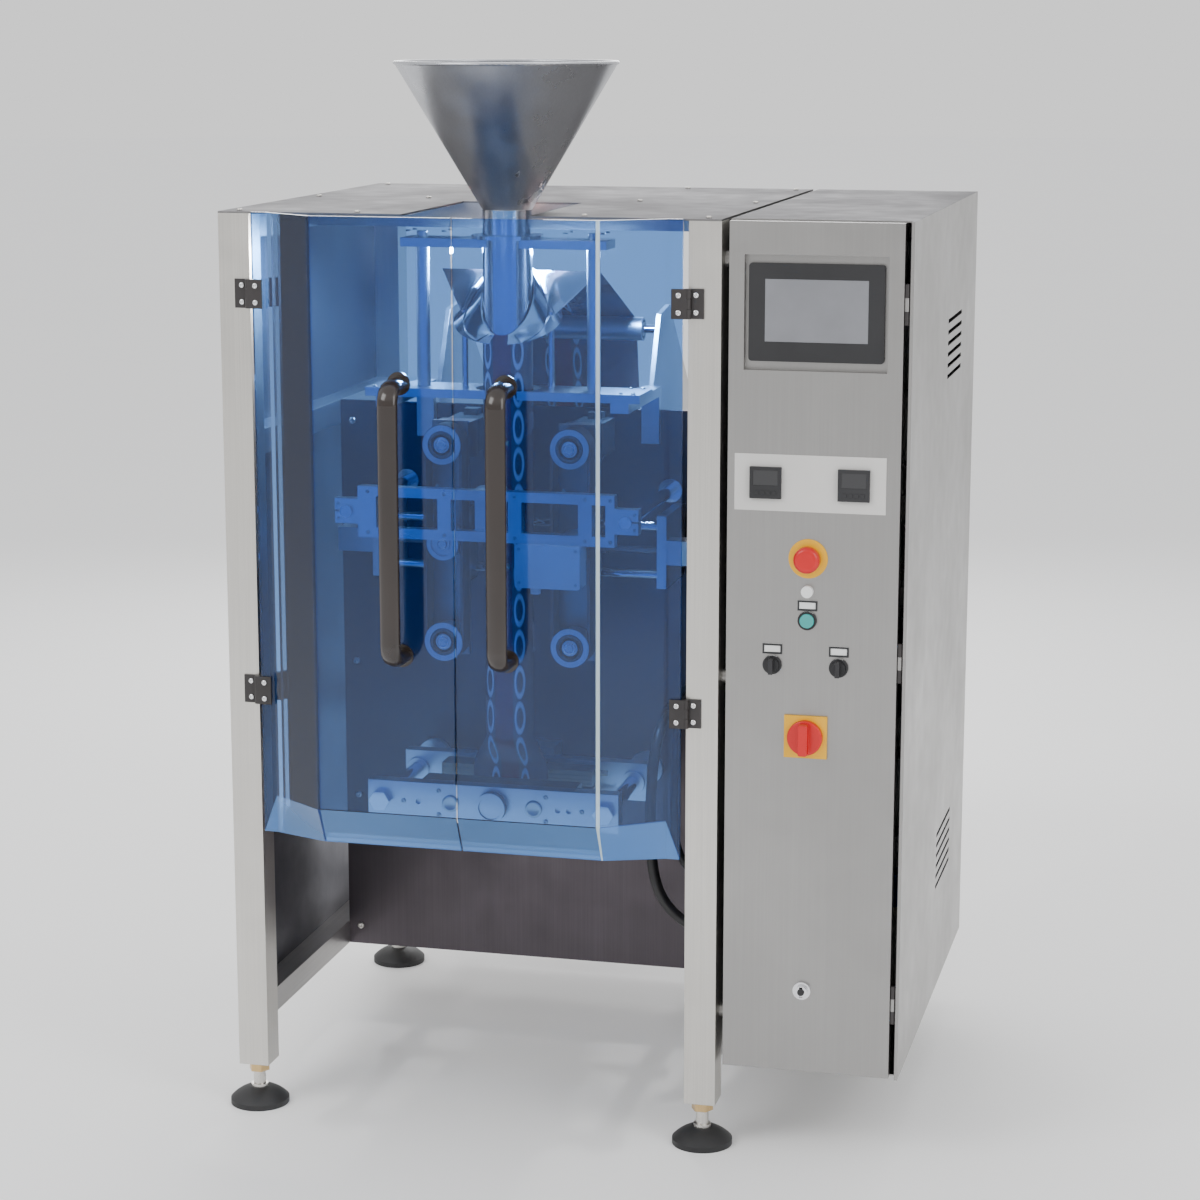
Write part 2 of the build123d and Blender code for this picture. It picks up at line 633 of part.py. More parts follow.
arm_u_span = (165.0, 171.0)
with BuildPart() as dancer_arm:
    for u in both_sides(arm_u_span):
        middle = at(u[0], (pivot[0] + dancer_at[0]) / 2, pivot[1])
        with BuildSketch(Plane(middle, x_dir=(0, 1, 0), z_dir=(1, 0, 0))) as outline:
            SlotCenterToCenter(dancer_at[0] - pivot[0], 36)
        extrude(outline.sketch, amount=u[1] - u[0])
    rod("x", (-arm_u_span[1], *pivot), 2 * arm_u_span[1], 14)
    rod("x", (-arm_u_span[1], *dancer_at), 2 * arm_u_span[1], shaft_radius)
    rod("x", (-arm_u_span[1] - 1, *pivot), 2 * arm_u_span[1] + 2, pivot_radius + running, Mode.SUBTRACT)
write(dancer_arm, "dancer_arm")

with BuildPart() as reel_spindle:
    rod("x", (-222, reel_depth, reel_height), 444, reel_shaft_radius)
    for u in (-230, 222):
        rod("x", (u, reel_depth, reel_height), 8, 22)
    for side in (-1, 1):
        inner, face = side * (film_width / 2 - 14), side * film_width / 2
        rod("x", (min(inner, face), reel_depth, reel_height), 14, core_radius - touch)
        rod("x", (min(face, face + side * 10), reel_depth, reel_height), 10, 62)
        rod("x", (min(face + side * 10, face + side * 30), reel_depth, reel_height), 20, 26)
write(reel_spindle, "reel_spindle")

with BuildPart() as film_roll:
    rod("x", (-film_width / 2, reel_depth, reel_height), film_width, reel_radius)
    rod("x", (-film_width / 2, reel_depth, reel_height), film_width, core_radius, Mode.SUBTRACT)
write(film_roll, "film_roll")


def tangent(one, other):
    """The film's straight run between two circles, as its two end points. A circle is (d, z, radius), and its
    radius is negative where the film turns round it to the right."""
    (d0, z0, r0), (d1, z1, r1) = one, other
    gap = sqrt((d1 - d0) ** 2 + (z1 - z0) ** 2)
    run = sqrt(gap**2 - (r1 - r0) ** 2)
    heading = atan2(z1 - z0, d1 - d0) - atan2(r1 - r0, run)
    left = (-sin(heading), cos(heading))
    return [(d - r * left[0], z - r * left[1]) for d, z, r in (one, other)]


def arc_middle(circle, start, end):
    """The middle of the film's arc on a roller, between the points where it arrives and leaves."""
    d, z, r = circle
    arrive, leave = atan2(start[1] - z, start[0] - d), atan2(end[1] - z, end[0] - d)
    sweep = (leave - arrive) % (2 * pi) if r > 0 else -((arrive - leave) % (2 * pi))
    return (d + abs(r) * cos(arrive + sweep / 2), z + abs(r) * sin(arrive + sweep / 2))


web_radius = roller_radius + film_gap + film_gauge / 2
film_circles = [
    (reel_depth, reel_height, reel_radius + film_gap + film_gauge / 2),
    (*idlers["idler_rear"], web_radius),
    (*dancer_at, -web_radius),
    (*idlers["idler_top"], web_radius),
    (tube_depth + 79, collar_z + 37, 0.0),
]
with BuildPart() as film_web:
    runs = [tangent(a, b) for a, b in zip(film_circles, film_circles[1:])]
    with BuildSketch(Plane(at(0, 0, 0), x_dir=(0, 1, 0), z_dir=(1, 0, 0))) as side_view:
        with BuildLine():
            for place, (start, end) in enumerate(runs):
                Line(start, end)
                if place + 1 < len(runs):
                    following = runs[place + 1][0]
                    ThreePointArc(end, arc_middle(film_circles[place + 1], end, following), following)
        trace(line_width=film_gauge)
    extrude(side_view.sketch, amount=film_width / 2, both=True)
write(film_web, "film_web")

flat_low, flat_high = jaw_z + 3, jaw_z + 36
flat_half = pi * tube_radius / 2 + 1
film_inner = tube_radius + film_gap
with BuildPart() as film_tube:
    rod("z", (0, tube_depth, tube_low - 2), collar_z - 75 - tube_low + 2, film_outer)
    rod("z", (0, tube_depth, tube_low - 1), collar_z - 75 - tube_low + 1, film_inner, Mode.SUBTRACT)
    with BuildSketch(Plane(at(0, tube_depth, tube_low - 2))) as open_end:
        Circle(film_outer)
    with BuildSketch(Plane(at(0, tube_depth, flat_high))) as flat_end:
        Ellipse(flat_half, 0.5)
    loft([open_end.sketch, flat_end.sketch])
    with BuildSketch(Plane(at(0, tube_depth, flat_low))) as tail:
        Ellipse(flat_half, 0.5)
    extrude(tail.sketch, amount=flat_high - flat_low)
write(film_tube, "film_tube")

# ================================================================ doors
hinge_back = 6.0
knuckle_radius = 5.5
pin_radius = 2.5
leaf_width, leaf_height, leaf_gauge = 24.0, 45.0, 3.0
hinge_zs = (706.0, 1335.0)
door_edge = 7.0
door_flange = 22.0
seam_gap = 1.5
hinge_u = -half_opening
door_top = frame_top + cover_sheet


def door_outline(bulge):
    """The left door's plan section, with its front panel bulge further out than its hinge flange."""
    wing_run = door_wing - door_edge - door_flange
    miter = door_sheet * tan(atan2(bulge, wing_run) / 2)
    face = -(3 + door_sheet)
    outer = [
        (hinge_u + door_edge, face),
        (hinge_u + door_edge + door_flange, face),
        (hinge_u + door_wing, face - bulge),
        (-seam_gap, face - bulge),
    ]
    shift = [0, miter, miter, 0]
    inner = [(u + m, d + door_sheet) for (u, d), m in zip(outer, shift)]
    return outer + inner[::-1]


def door_plan(z, bulge):
    """The left door's plan section at a height."""
    with BuildSketch(Plane(at(0, 0, z))) as plan:
        Polygon(*door_outline(bulge), align=None)
    return plan.sketch


tube_plane = Plane.YZ.offset(tube_x)

with BuildPart() as left_door:
    extrude(door_plan(door_bottom + door_lip, door_bulge), amount=door_top - door_bottom - door_lip)
    lip_end = door_plan(door_bottom, door_bulge - door_lip_set_in)
    loft([lip_end, door_plan(door_bottom + door_lip, door_bulge)], ruled=True)
write(left_door, "left_door")

with BuildPart() as right_door:
    mirror(left_door.part, about=tube_plane)
write(right_door, "right_door")

door_face_d = -(3 + door_sheet + door_bulge)
handle_u = -84.0
cab = (cabinet_left - tube_x, cabinet_right - tube_x)
cab_z = (cabinet_bottom, cabinet_top)
cab_front = 24.0
door_thickness = 20.0
trim = 5.0
cab_partition = 330.0
inner_u = (cab[0] + cabinet_sheet, cab[1] - cabinet_sheet)
inner_z = (cab_z[0] + cabinet_sheet, cab_z[1] - cabinet_sheet)
cable_entry_radius = 12.5
cable_entry_z = 220.0
hinge_line_u = cab[1] - 10
cab_door = (cab[0] + 1, hinge_line_u - 4)
cab_door_z = (cab_z[0] + 2, cab_z[1] - 2)
cab_door_d = (cab_front - door_thickness, cab_front - seat_gap)
cab_hinge_d = cab_door_d[0] + 4
cab_hinge_zs = (260.0, 800.0, 1340.0)
cab_knuckle, cab_pin = 4.0, 1.8
control_u = cab[0] + 126
lock_z = 274.0
keeper_drop = 30.0

third = leaf_height / 3
with BuildPart() as left_door_fittings:
    bar_d = door_face_d - handle_standoff - handle_depth / 2
    ends = (handle_low + handle_depth / 2, handle_high - handle_depth / 2)
    corners = [(door_face_d, ends[0]), (bar_d, ends[0]), (bar_d, ends[1]), (door_face_d, ends[1])]
    with BuildLine() as centre:
        FilletPolyline(*[at(handle_u, d, z) for d, z in corners], radius=handle_bend)
    bar = centre.wires()[0]
    with BuildSketch(Plane(bar @ 0, x_dir=(1, 0, 0), z_dir=bar % 0)):
        Ellipse(handle_width / 2, handle_depth / 2)
    sweep(path=bar)
    for z in ends:
        rod("y", (handle_u, door_face_d - 4, z), 4, handle_width / 2 + 2)
    for z in hinge_zs:
        block(
            (hinge_u, hinge_u + leaf_width),
            (-3 - door_sheet - leaf_gauge, -3 - door_sheet),
            (z - leaf_height / 2, z + leaf_height / 2),
        )
        for low in (z - leaf_height / 2, z + third / 2):
            rod("z", (hinge_u, -hinge_back, low), third, knuckle_radius + touch, Mode.SUBTRACT)
        rod("z", (hinge_u, -hinge_back, z - third / 2), third, knuckle_radius)
        rod("z", (hinge_u, -hinge_back, z - third), 2 * third, pin_radius + running, Mode.SUBTRACT)
write(left_door_fittings, "left_door_fittings")

with BuildPart() as right_door_fittings:
    mirror(left_door_fittings.part, about=tube_plane)
write(right_door_fittings, "right_door_fittings")

with BuildPart() as fixed_hinges:
    for z in hinge_zs:
        for u in both_sides((hinge_u - leaf_width, hinge_u)):
            block(u, (-leaf_gauge, 0), (z - leaf_height / 2, z + leaf_height / 2))
        for u in (hinge_u, -hinge_u):
            for low in (z - leaf_height / 2, z + leaf_height / 2 - third):
                rod("z", (u, -hinge_back, low), third, knuckle_radius)
            gap_start = (u, -hinge_back, z - third / 2 - touch)
            rod("z", gap_start, third + 2 * touch, knuckle_radius + touch, Mode.SUBTRACT)
            rod("z", (u, -hinge_back, z - leaf_height / 2), leaf_height, pin_radius)
    for z in cab_hinge_zs:
        for low in (z - 30.3, z + 10.3):
            rod("z", (hinge_line_u, cab_hinge_d, low), 20, cab_knuckle)
            block((hinge_line_u, cab[1] - trim), (cab_hinge_d - 1, cab_hinge_d + 1), (low, low + 20))
        rod("z", (hinge_line_u, cab_hinge_d, z - 30.3), 60.6, cab_pin)
write(fixed_hinges, "fixed_hinges")

# ================================================================ electrical cabinet
with BuildPart() as cabinet_shell:
    block(cab, (cab_front, frame_depth), cab_z)
    block(inner_u, (cab_front, frame_depth - cabinet_sheet), inner_z, Mode.SUBTRACT)
    block((cab[1] - trim, cab[1]), (cab_front - door_thickness, cab_front), cab_z)
    keeper_d = (cab_front + 0.5, cab_front + 3.5)
    block((control_u - 14, control_u + 14), keeper_d, (cab_z[0], lock_z - keeper_drop))
    for z in (220, 760, 1400):
        for d in (post_side / 2, frame_depth - post_side / 2):
            start = max(d, cab_front + 15)
            rod("x", (cab[0] - cabinet_gap, start, z), cabinet_gap, 12)
    back_sheet = (sum(cab) / 2, frame_depth - cabinet_sheet, cable_entry_z)
    rod("y", back_sheet, cabinet_sheet, cable_entry_radius, Mode.SUBTRACT)
    for row in range(6):
        for z in (320, 1180):
            low = z + row * 18
            block((cab[1] - cabinet_sheet, cab[1]), (430, 610), (low, low + 7), Mode.SUBTRACT)
write(cabinet_shell, "cabinet_shell")

hmi_u = cab[0] + 132
hmi_z = 1324.0
hmi_size = (204.0, 146.0)
pocket_size = (216.0, 172.0)
pocket_depth = 12.0
estop_z, white_z, green_z = 955.0, 905.0, 860.0
selector_us, selector_z = (cab[0] + 73, cab[0] + 175), 789.0
switch_z = 679.0
button_hole, button_shank = 11.25, 11.0
panel_d = (cab_door_d[0], cab_door_d[0] + cabinet_sheet)
control_points = [(control_u, estop_z), (control_u, green_z)]
control_points += [(u, selector_z) for u in selector_us]

with BuildPart() as cabinet_door:
    block(cab_door, cab_door_d, cab_door_z)
    block(
        (cab_door[0] + cabinet_sheet, cab_door[1] - cabinet_sheet),
        (cab_door_d[0] + cabinet_sheet, cab_door_d[1]),
        (cab_door_z[0] + cabinet_sheet, cab_door_z[1] - cabinet_sheet),
        Mode.SUBTRACT,
    )
    pocket_u = (hmi_u - pocket_size[0] / 2, hmi_u + pocket_size[0] / 2)
    pocket_z = (hmi_z - pocket_size[1] / 2, hmi_z + pocket_size[1] / 2)
    block(
        (pocket_u[0] - cabinet_sheet, pocket_u[1] + cabinet_sheet),
        (panel_d[0], panel_d[0] + pocket_depth + cabinet_sheet),
        (pocket_z[0] - cabinet_sheet, pocket_z[1] + cabinet_sheet),
    )
    block(pocket_u, (panel_d[0], panel_d[0] + pocket_depth), pocket_z, Mode.SUBTRACT)
    for u, z in control_points:
        rod("y", (u, panel_d[0], z), cabinet_sheet, button_hole, Mode.SUBTRACT)
    for u, z in ((control_u, switch_z), (control_u, lock_z)):
        rod("y", (u, panel_d[0], z), cabinet_sheet, 10, Mode.SUBTRACT)
    for z in cab_hinge_zs:
        rod("z", (hinge_line_u, cab_hinge_d, z - 10), 20, cab_knuckle)
        block((cab_door[1] - 2, hinge_line_u), (cab_hinge_d - 1, cab_hinge_d + 1), (z - 10, z + 10))
        rod("z", (hinge_line_u, cab_hinge_d, z - 10), 20, cab_pin + running, Mode.SUBTRACT)
write(cabinet_door, "cabinet_door")

controller_us = (cab[0] + 60, cab[0] + 194)
controller_z = 1069.0
label_gauge = 1.0
with BuildPart() as hmi_housing:
    face = panel_d[0] + pocket_depth
    half_u, half_z = hmi_size[0] / 2, hmi_size[1] / 2
    block((hmi_u - half_u, hmi_u + half_u), (face - 7, face), (hmi_z - half_z, hmi_z + half_z))
    fillet(hmi_housing.edges().filter_by(Axis.Y), 5)
    screen_u = (hmi_u - 78, hmi_u + 78)
    screen_z = (hmi_z - 44, hmi_z + 50)
    block(screen_u, (face - 7, face - 4.5), screen_z, Mode.SUBTRACT)
    label_z = (controller_z - 43, controller_z + 43)
    block((cab[0] + 12, cab[0] + 242), (panel_d[0] - label_gauge, panel_d[0]), label_z)
write(hmi_housing, "hmi_housing")

with BuildPart() as hmi_screen:
    block(
        (screen_u[0] + touch, screen_u[1] - touch),
        (face - 6.2, face - 4.5),
        (screen_z[0] + touch, screen_z[1] - touch),
    )
write(hmi_screen, "hmi_screen")

with BuildPart() as panel_fittings:
    for u in controller_us:
        front = panel_d[0] - label_gauge
        block((u - 24, u + 24), (front - 6, front), (controller_z - 24, controller_z + 24))
        display_z = (controller_z - 4, controller_z + 19)
        block((u - 19, u + 19), (front - 6, front - 4.8), display_z, Mode.SUBTRACT)
        for step in (-13.5, -4.5, 4.5, 13.5):
            key_z = (controller_z - 18, controller_z - 12)
            block((u + step - 3, u + step + 3), (front - 7, front - 6), key_z)
    rod("y", (control_u, panel_d[0] - 1.5, estop_z), 1.5, 30)
    rod("y", (control_u, panel_d[0] - 1.5, estop_z), 1.5, button_hole, Mode.SUBTRACT)
    for u, z in control_points[1:]:
        rod("y", (u, panel_d[0] - 4, z), 4, 14.5)
        rod("y", (u, panel_d[0] - 4, z), 4, button_hole, Mode.SUBTRACT)
    rod("y", (control_u, panel_d[0] - 9, white_z), 9, 9)
    for u, z in [(u, selector_z + 25) for u in selector_us] + [(control_u, green_z + 23)]:
        block((u - 15, u + 15), (panel_d[0] - 2, panel_d[0]), (z - 8, z + 8))
        block((u - 12.5, u + 12.5), (panel_d[0] - 2, panel_d[0] - 1), (z - 5, z + 5), Mode.SUBTRACT)
    block((control_u - 33, control_u + 33), (panel_d[0] - 4, panel_d[0]), (switch_z - 33, switch_z + 33))
    rod("y", (control_u, panel_d[0] - 4, switch_z), 4, 10, Mode.SUBTRACT)
write(panel_fittings, "panel_fittings")


def mushroom(u, z, front, head_radius, head_depth, travel):
    """A push button with its shank in the panel, standing travel proud of its ring."""
    with BuildPart() as button:
        rod("y", (u, front - travel - head_depth, z), head_depth, head_radius)
        rim = button.faces().sort_by(Axis.Y)[0].edges()
        fillet(rim, min(head_depth, head_radius) * 0.45)
        rod("y", (u, front - travel, z), travel + 12, button_shank)
    return button


estop_travel, push_travel = 6.0, 4.0
write(mushroom(control_u, estop_z, panel_d[0] - 1.5, 20, 16, estop_travel), "estop_button")

with BuildPart() as green_button:
    rod("y", (control_u, panel_d[0] - 4 - push_travel, green_z), 16 + push_travel, button_shank)
    fillet(green_button.faces().sort_by(Axis.Y)[0].edges(), 1.5)
write(green_button, "green_button")

for name, u in zip(("selector_left", "selector_right"), selector_us):
    with BuildPart() as selector:
        rod("y", (u, panel_d[0] - 7, selector_z), 19, button_shank)
        block((u - 3.5, u + 3.5), (panel_d[0] - 19, panel_d[0] - 7), (selector_z - 12, selector_z + 12))
        fillet(selector.edges().filter_by(Axis.Z).group_by(Axis.Y)[0], 1.5)
    write(selector, name)

with BuildPart() as switch_knob:
    rod("y", (control_u, panel_d[0] - 14, switch_z), 9.5, 27)
    fillet(switch_knob.faces().sort_by(Axis.Y)[0].edges(), 2)
    block((control_u - 7, control_u + 7), (panel_d[0] - 30, panel_d[0] - 14), (switch_z - 24, switch_z + 24))
    fillet(switch_knob.edges().filter_by(Axis.Y).group_by(Axis.Y)[0], 3)
    rod("y", (control_u, panel_d[0] - 4.5, switch_z), 18, 9.5)
write(switch_knob, "switch_knob")

with BuildPart() as cam_lock:
    rod("y", (control_u, panel_d[0] - 6, lock_z), 6, 14)
    rod("y", (control_u, panel_d[0] - 12, lock_z), 40, 9.5)
    slot_d = (panel_d[0] - 12, panel_d[0] - 9)
    block((control_u - 2.5, control_u + 2.5), slot_d, (lock_z - 9, lock_z + 9), Mode.SUBTRACT)
    block((control_u - 9, control_u + 50), (cab_front + 4, cab_front + 7), (lock_z - 9, lock_z + 9))
write(cam_lock, "cam_lock")

electrics_middle = sum(inner_u) / 2
drive_boxes = (
    (-60, 1290, 110, 100, 80),
    (62, 1290, 80, 100, 70),
    (-62, 1020, 70, 170, 130),
    (18, 1020, 70, 170, 130),
    (-50, 720, 90, 120, 90),
    (62, 720, 70, 120, 110),
)
with BuildPart() as cabinet_electrics:
    plate_z = (inner_z[0] + 20, inner_z[1] - 20)
    block((inner_u[0] + 4, inner_u[1] - 4), (cab_partition, cab_partition + 3), plate_z)
    for z in (inner_z[0], inner_z[1] - 30):
        block(inner_u, (cab_partition + 3, cab_partition + 23), (z, z + 30))
    for u, z, width, height, depth in drive_boxes:
        middle = electrics_middle + u
        span = (middle - width / 2, middle + width / 2)
        block(span, (cab_partition - depth, cab_partition), (z - height / 2, z + height / 2))
    for column in range(9):
        low = electrics_middle - 112 + column * 24
        block((low, low + 18), (cab_partition - 68, cab_partition), (500, 585))
    for column in range(18):
        low = electrics_middle - 112 + column * 12.4
        block((low, low + 8), (cab_partition - 46, cab_partition), (330, 385))
    for z in (440, 640, 850, 1160, 1400):
        span = (electrics_middle - 120, electrics_middle + 120)
        block(span, (cab_partition - 60, cab_partition), (z - 15, z + 15))
write(cabinet_electrics, "cabinet_electrics")

# ================================================================ hoses
gland_length, gland_radius = 22.0, 15.0
wall_u = panel_inner - gland_length
plate_exit = plate_depth - gland_length
hoses = {
    "hose_a": (
        18.0,
        [
            (231, plate_exit, 600),
            (231, 354, 600),
            (231, 305.5, 572),
            (231, 277.5, 523.5),
            (231, 262.5, 437),
            (239, 262, 349),
            (267, 262, 300.5),
            (315.5, 262, 272.5),
            (wall_u, 262, 272.5),
        ],
    ),
    "hose_b": (
        14.0,
        [
            (265, plate_exit, 640),
            (265, 366, 640),
            (265, 328.5, 618.5),
            (265, 307, 581),
            (265, 298, 522.5),
            (265.5, 293.5, 463),
            (268.5, 293, 404),
            (290, 293, 366.5),
            (327.5, 293, 345),
            (wall_u, 293, 345),
        ],
    ),
}


def bend_radii(points):
    """For each corner of a route, 0.45 of its shorter run over the tangent of half its turn."""
    radii = []
    for before, corner, after in zip(points, points[1:], points[2:]):
        come, go = Vector(*corner) - Vector(*before), Vector(*after) - Vector(*corner)
        radii.append(0.45 * min(come.length, go.length) / tan(radians(come.get_angle(go)) / 2))
    return radii


for name, (diameter, route) in hoses.items():
    route = [at(*point) for point in route]
    with BuildPart() as hose:
        with BuildLine() as line:
            FilletPolyline(*route, radius=bend_radii(route))
        run = line.wires()[0]
        with BuildSketch(Plane(run @ 0, z_dir=run % 0)):
            Circle(diameter / 2)
        sweep(path=run)
    expected = pi * diameter**2 / 4 * run.length
    print(name, "length", round(run.length), "volume", round(hose.part.volume / expected, 4))
    print("  radii", [round(r) for r in bend_radii(route)])
    write(hose, name)

with BuildPart() as hose_glands:
    for diameter, route in hoses.values():
        (u0, d0, z0), (u1, d1, z1) = route[0], route[-1]
        rod("y", (u0, d0, z0), gland_length, gland_radius)
        hexagon("y", (u0, d0 + 10, z0), gland_length - 10, 30)
        rod("x", (u1, d1, z1), gland_length, gland_radius)
        hexagon("x", (u1 + 10, d1, z1), gland_length - 10, 30)
write(hose_glands, "hose_glands")

print("overall", total_width, front_overhang + frame_depth + back_overhang, funnel_top)
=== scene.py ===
"""Looks of the vertical form fill sealer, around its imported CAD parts. Metres, in the CAD's frame."""

import bmesh
import bpy
import math
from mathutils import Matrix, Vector


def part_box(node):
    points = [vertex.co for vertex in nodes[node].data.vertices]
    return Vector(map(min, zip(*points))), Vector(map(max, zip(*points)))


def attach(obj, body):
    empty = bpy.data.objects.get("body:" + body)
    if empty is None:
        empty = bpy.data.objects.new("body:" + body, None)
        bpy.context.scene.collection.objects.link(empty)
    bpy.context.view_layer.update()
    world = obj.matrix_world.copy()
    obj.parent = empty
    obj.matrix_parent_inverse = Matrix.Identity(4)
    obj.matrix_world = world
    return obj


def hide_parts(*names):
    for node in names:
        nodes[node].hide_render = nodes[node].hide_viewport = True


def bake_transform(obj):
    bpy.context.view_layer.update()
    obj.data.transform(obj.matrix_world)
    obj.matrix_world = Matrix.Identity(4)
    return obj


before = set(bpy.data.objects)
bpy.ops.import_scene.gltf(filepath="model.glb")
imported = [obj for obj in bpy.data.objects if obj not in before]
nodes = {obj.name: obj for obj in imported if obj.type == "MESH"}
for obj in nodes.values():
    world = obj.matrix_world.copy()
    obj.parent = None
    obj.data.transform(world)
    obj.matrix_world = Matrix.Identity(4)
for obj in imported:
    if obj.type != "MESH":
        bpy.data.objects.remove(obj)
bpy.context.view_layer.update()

# ------------------------------------------------------------------ where things are
low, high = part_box("forming_tube")
tube_x = (low.x + high.x) / 2
front_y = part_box("frame_posts")[0].y


def at(u, d, z):
    """The point u mm to the right of the tube, d mm behind the posts' front faces and z mm up, in metres."""
    return Vector((tube_x + u / 1000, front_y + d / 1000, z / 1000))


# Named places, in mm: u from the tube, d from the posts' front faces, z from the floor.
cabinet_u = (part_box("cabinet_shell")[0].x - tube_x) * 1000 + 10
control_u = cabinet_u + 126
tube_depth = 240.0
cover_z, lip_start_z = 1461, 534.5
bridge_z, shelf_z = 1419, 1169
door_fold_u, door_fold_d, lip_back, lip_z = 227.5, -73, 30, 474.5
hinge_u, hinge_heights, hinge_hole = 347.5, (706, 1335), 13
cross_z, cross_d = 982, 97
jaw_z, carrier_d = 501, 126
pulley_u, pulley_d, pulley_levels = 107, 217, ((749, "lower"), (1075, "upper"))
reel_d, reel_z, reel_radius = 980, 640, 150
FORWARD, UP = (0, -1, 0), (0, 0, 1)

# ------------------------------------------------------------------ camera
camera = bpy.data.objects.new("camera", bpy.data.cameras.new("camera"))
bpy.context.collection.objects.link(camera)
camera.location = (1.12, -4.71, 1.75)
aim = Vector((-0.03, -0.05, 0.785))
camera.rotation_euler = (aim - camera.location).to_track_quat("-Z", "Y").to_euler()
camera.data.lens = 86.5
bpy.context.scene.camera = camera


# ------------------------------------------------------------------ material kit
def add(tree, kind, inputs=None, **settings):
    """Adds a node. Each input is a constant or another node's output socket."""
    node = tree.nodes.new(kind)
    for key, value in settings.items():
        setattr(node, key, value)
    for key, value in (inputs or {}).items():
        if isinstance(value, bpy.types.NodeSocket):
            tree.links.new(value, node.inputs[key])
        else:
            node.inputs[key].default_value = value
    return node


def new_material(name):
    """A material with its node tree and its main shader."""
    material = bpy.data.materials.new(name)
    material.use_nodes = True
    return material, material.node_tree, material.node_tree.nodes["Principled BSDF"]


def shade(color, factor):
    return tuple(min(1.0, c * factor) for c in color[:3]) + (1.0,)


def blend_colors(tree, factor, one, other):
    """A colour between two, by a factor socket."""
    mix = add(tree, "ShaderNodeMix", data_type="RGBA")
    tree.links.new(factor, mix.inputs[0])
    for socket, value in ((mix.inputs[6], one), (mix.inputs[7], other)):
        if isinstance(value, bpy.types.NodeSocket):
            tree.links.new(value, socket)
        else:
            socket.default_value = value
    return mix.outputs[2]


def spread(tree, value, low_out, high_out, low_in=0.35, high_in=0.65):
    """A noise value stretched to a range."""
    inputs = {"Value": value, "From Min": low_in, "From Max": high_in, "To Min": low_out, "To Max": high_out}
    return add(tree, "ShaderNodeMapRange", inputs).outputs[0]


def object_noise(tree, scale, detail=4.0, stretch=(1, 1, 1)):
    coords = add(tree, "ShaderNodeTexCoord").outputs["Object"]
    placed = add(tree, "ShaderNodeMapping", {"Vector": coords, "Scale": stretch}).outputs[0]
    inputs = {"Vector": placed, "Scale": scale, "Detail": detail}
    return add(tree, "ShaderNodeTexNoise", inputs).outputs["Fac"]


GRAIN = {"x": (0.012, 1, 1), "y": (1, 0.012, 1), "z": (1, 1, 0.012)}


def metal(
    name,
    color,
    grain="z",
    roughness=0.34,
    streak=0.10,
    smudge=0.10,
    relief=0.15,
    rounding=0.0008,
    tarnish=0.9,
):
    """Brushed or ground metal: streaks along the grain, faint handling marks, and rounded bright edges."""
    material, tree, shader = new_material(name)
    streaks = object_noise(tree, 420.0, 3.0, GRAIN[grain])
    broad = object_noise(tree, 60.0, 3.0, GRAIN[grain])
    cloud = object_noise(tree, 3.5, 5.0)
    spots = object_noise(tree, 22.0, 6.0)
    tone = blend_colors(tree, spread(tree, streaks, 0, 1), shade(color, 1 - streak), shade(color, 1 + streak))
    tone = blend_colors(tree, spread(tree, cloud, 0.0, 0.55), tone, shade(color, tarnish))
    tone = blend_colors(tree, spread(tree, broad, 0.0, 0.35), tone, shade(color, 1 - 1.5 * streak))
    tree.links.new(tone, shader.inputs["Base Color"])
    rough = spread(tree, cloud, roughness - smudge / 2, roughness + smudge / 2)
    marks = spread(tree, spots, -smudge / 3, smudge / 3)
    total = add(tree, "ShaderNodeMath", {0: rough, 1: marks}, operation="ADD").outputs[0]
    tree.links.new(total, shader.inputs["Roughness"])
    shader.inputs["Metallic"].default_value = 1.0
    bump_inputs = {"Height": streaks, "Strength": relief, "Distance": 0.0002}
    if rounding:
        bevel = add(tree, "ShaderNodeBevel", {"Radius": rounding}, samples=4)
        bump_inputs["Normal"] = bevel.outputs[0]
    tree.links.new(add(tree, "ShaderNodeBump", bump_inputs).outputs[0], shader.inputs["Normal"])
    return material


def plastic(
    name, color, roughness=0.4, speckle=0.12, relief=0.12, grain_scale=900.0, rounding=0.0008, coat=0.0
):
    """Moulded plastic or rubber: fine pebble, slight colour change, rounded edges."""
    material, tree, shader = new_material(name)
    fine = object_noise(tree, grain_scale, 2.0)
    cloud = object_noise(tree, 9.0, 5.0)
    tone = blend_colors(tree, spread(tree, cloud, 0, 1), shade(color, 1 - speckle), shade(color, 1 + speckle))
    tree.links.new(tone, shader.inputs["Base Color"])
    tree.links.new(spread(tree, cloud, roughness + 0.08, roughness - 0.06), shader.inputs["Roughness"])
    shader.inputs["Coat Weight"].default_value = coat
    bump_inputs = {"Height": fine, "Strength": relief, "Distance": 0.0002}
    if rounding:
        bump_inputs["Normal"] = add(tree, "ShaderNodeBevel", {"Radius": rounding}, samples=4).outputs[0]
    tree.links.new(add(tree, "ShaderNodeBump", bump_inputs).outputs[0], shader.inputs["Normal"])
    return material


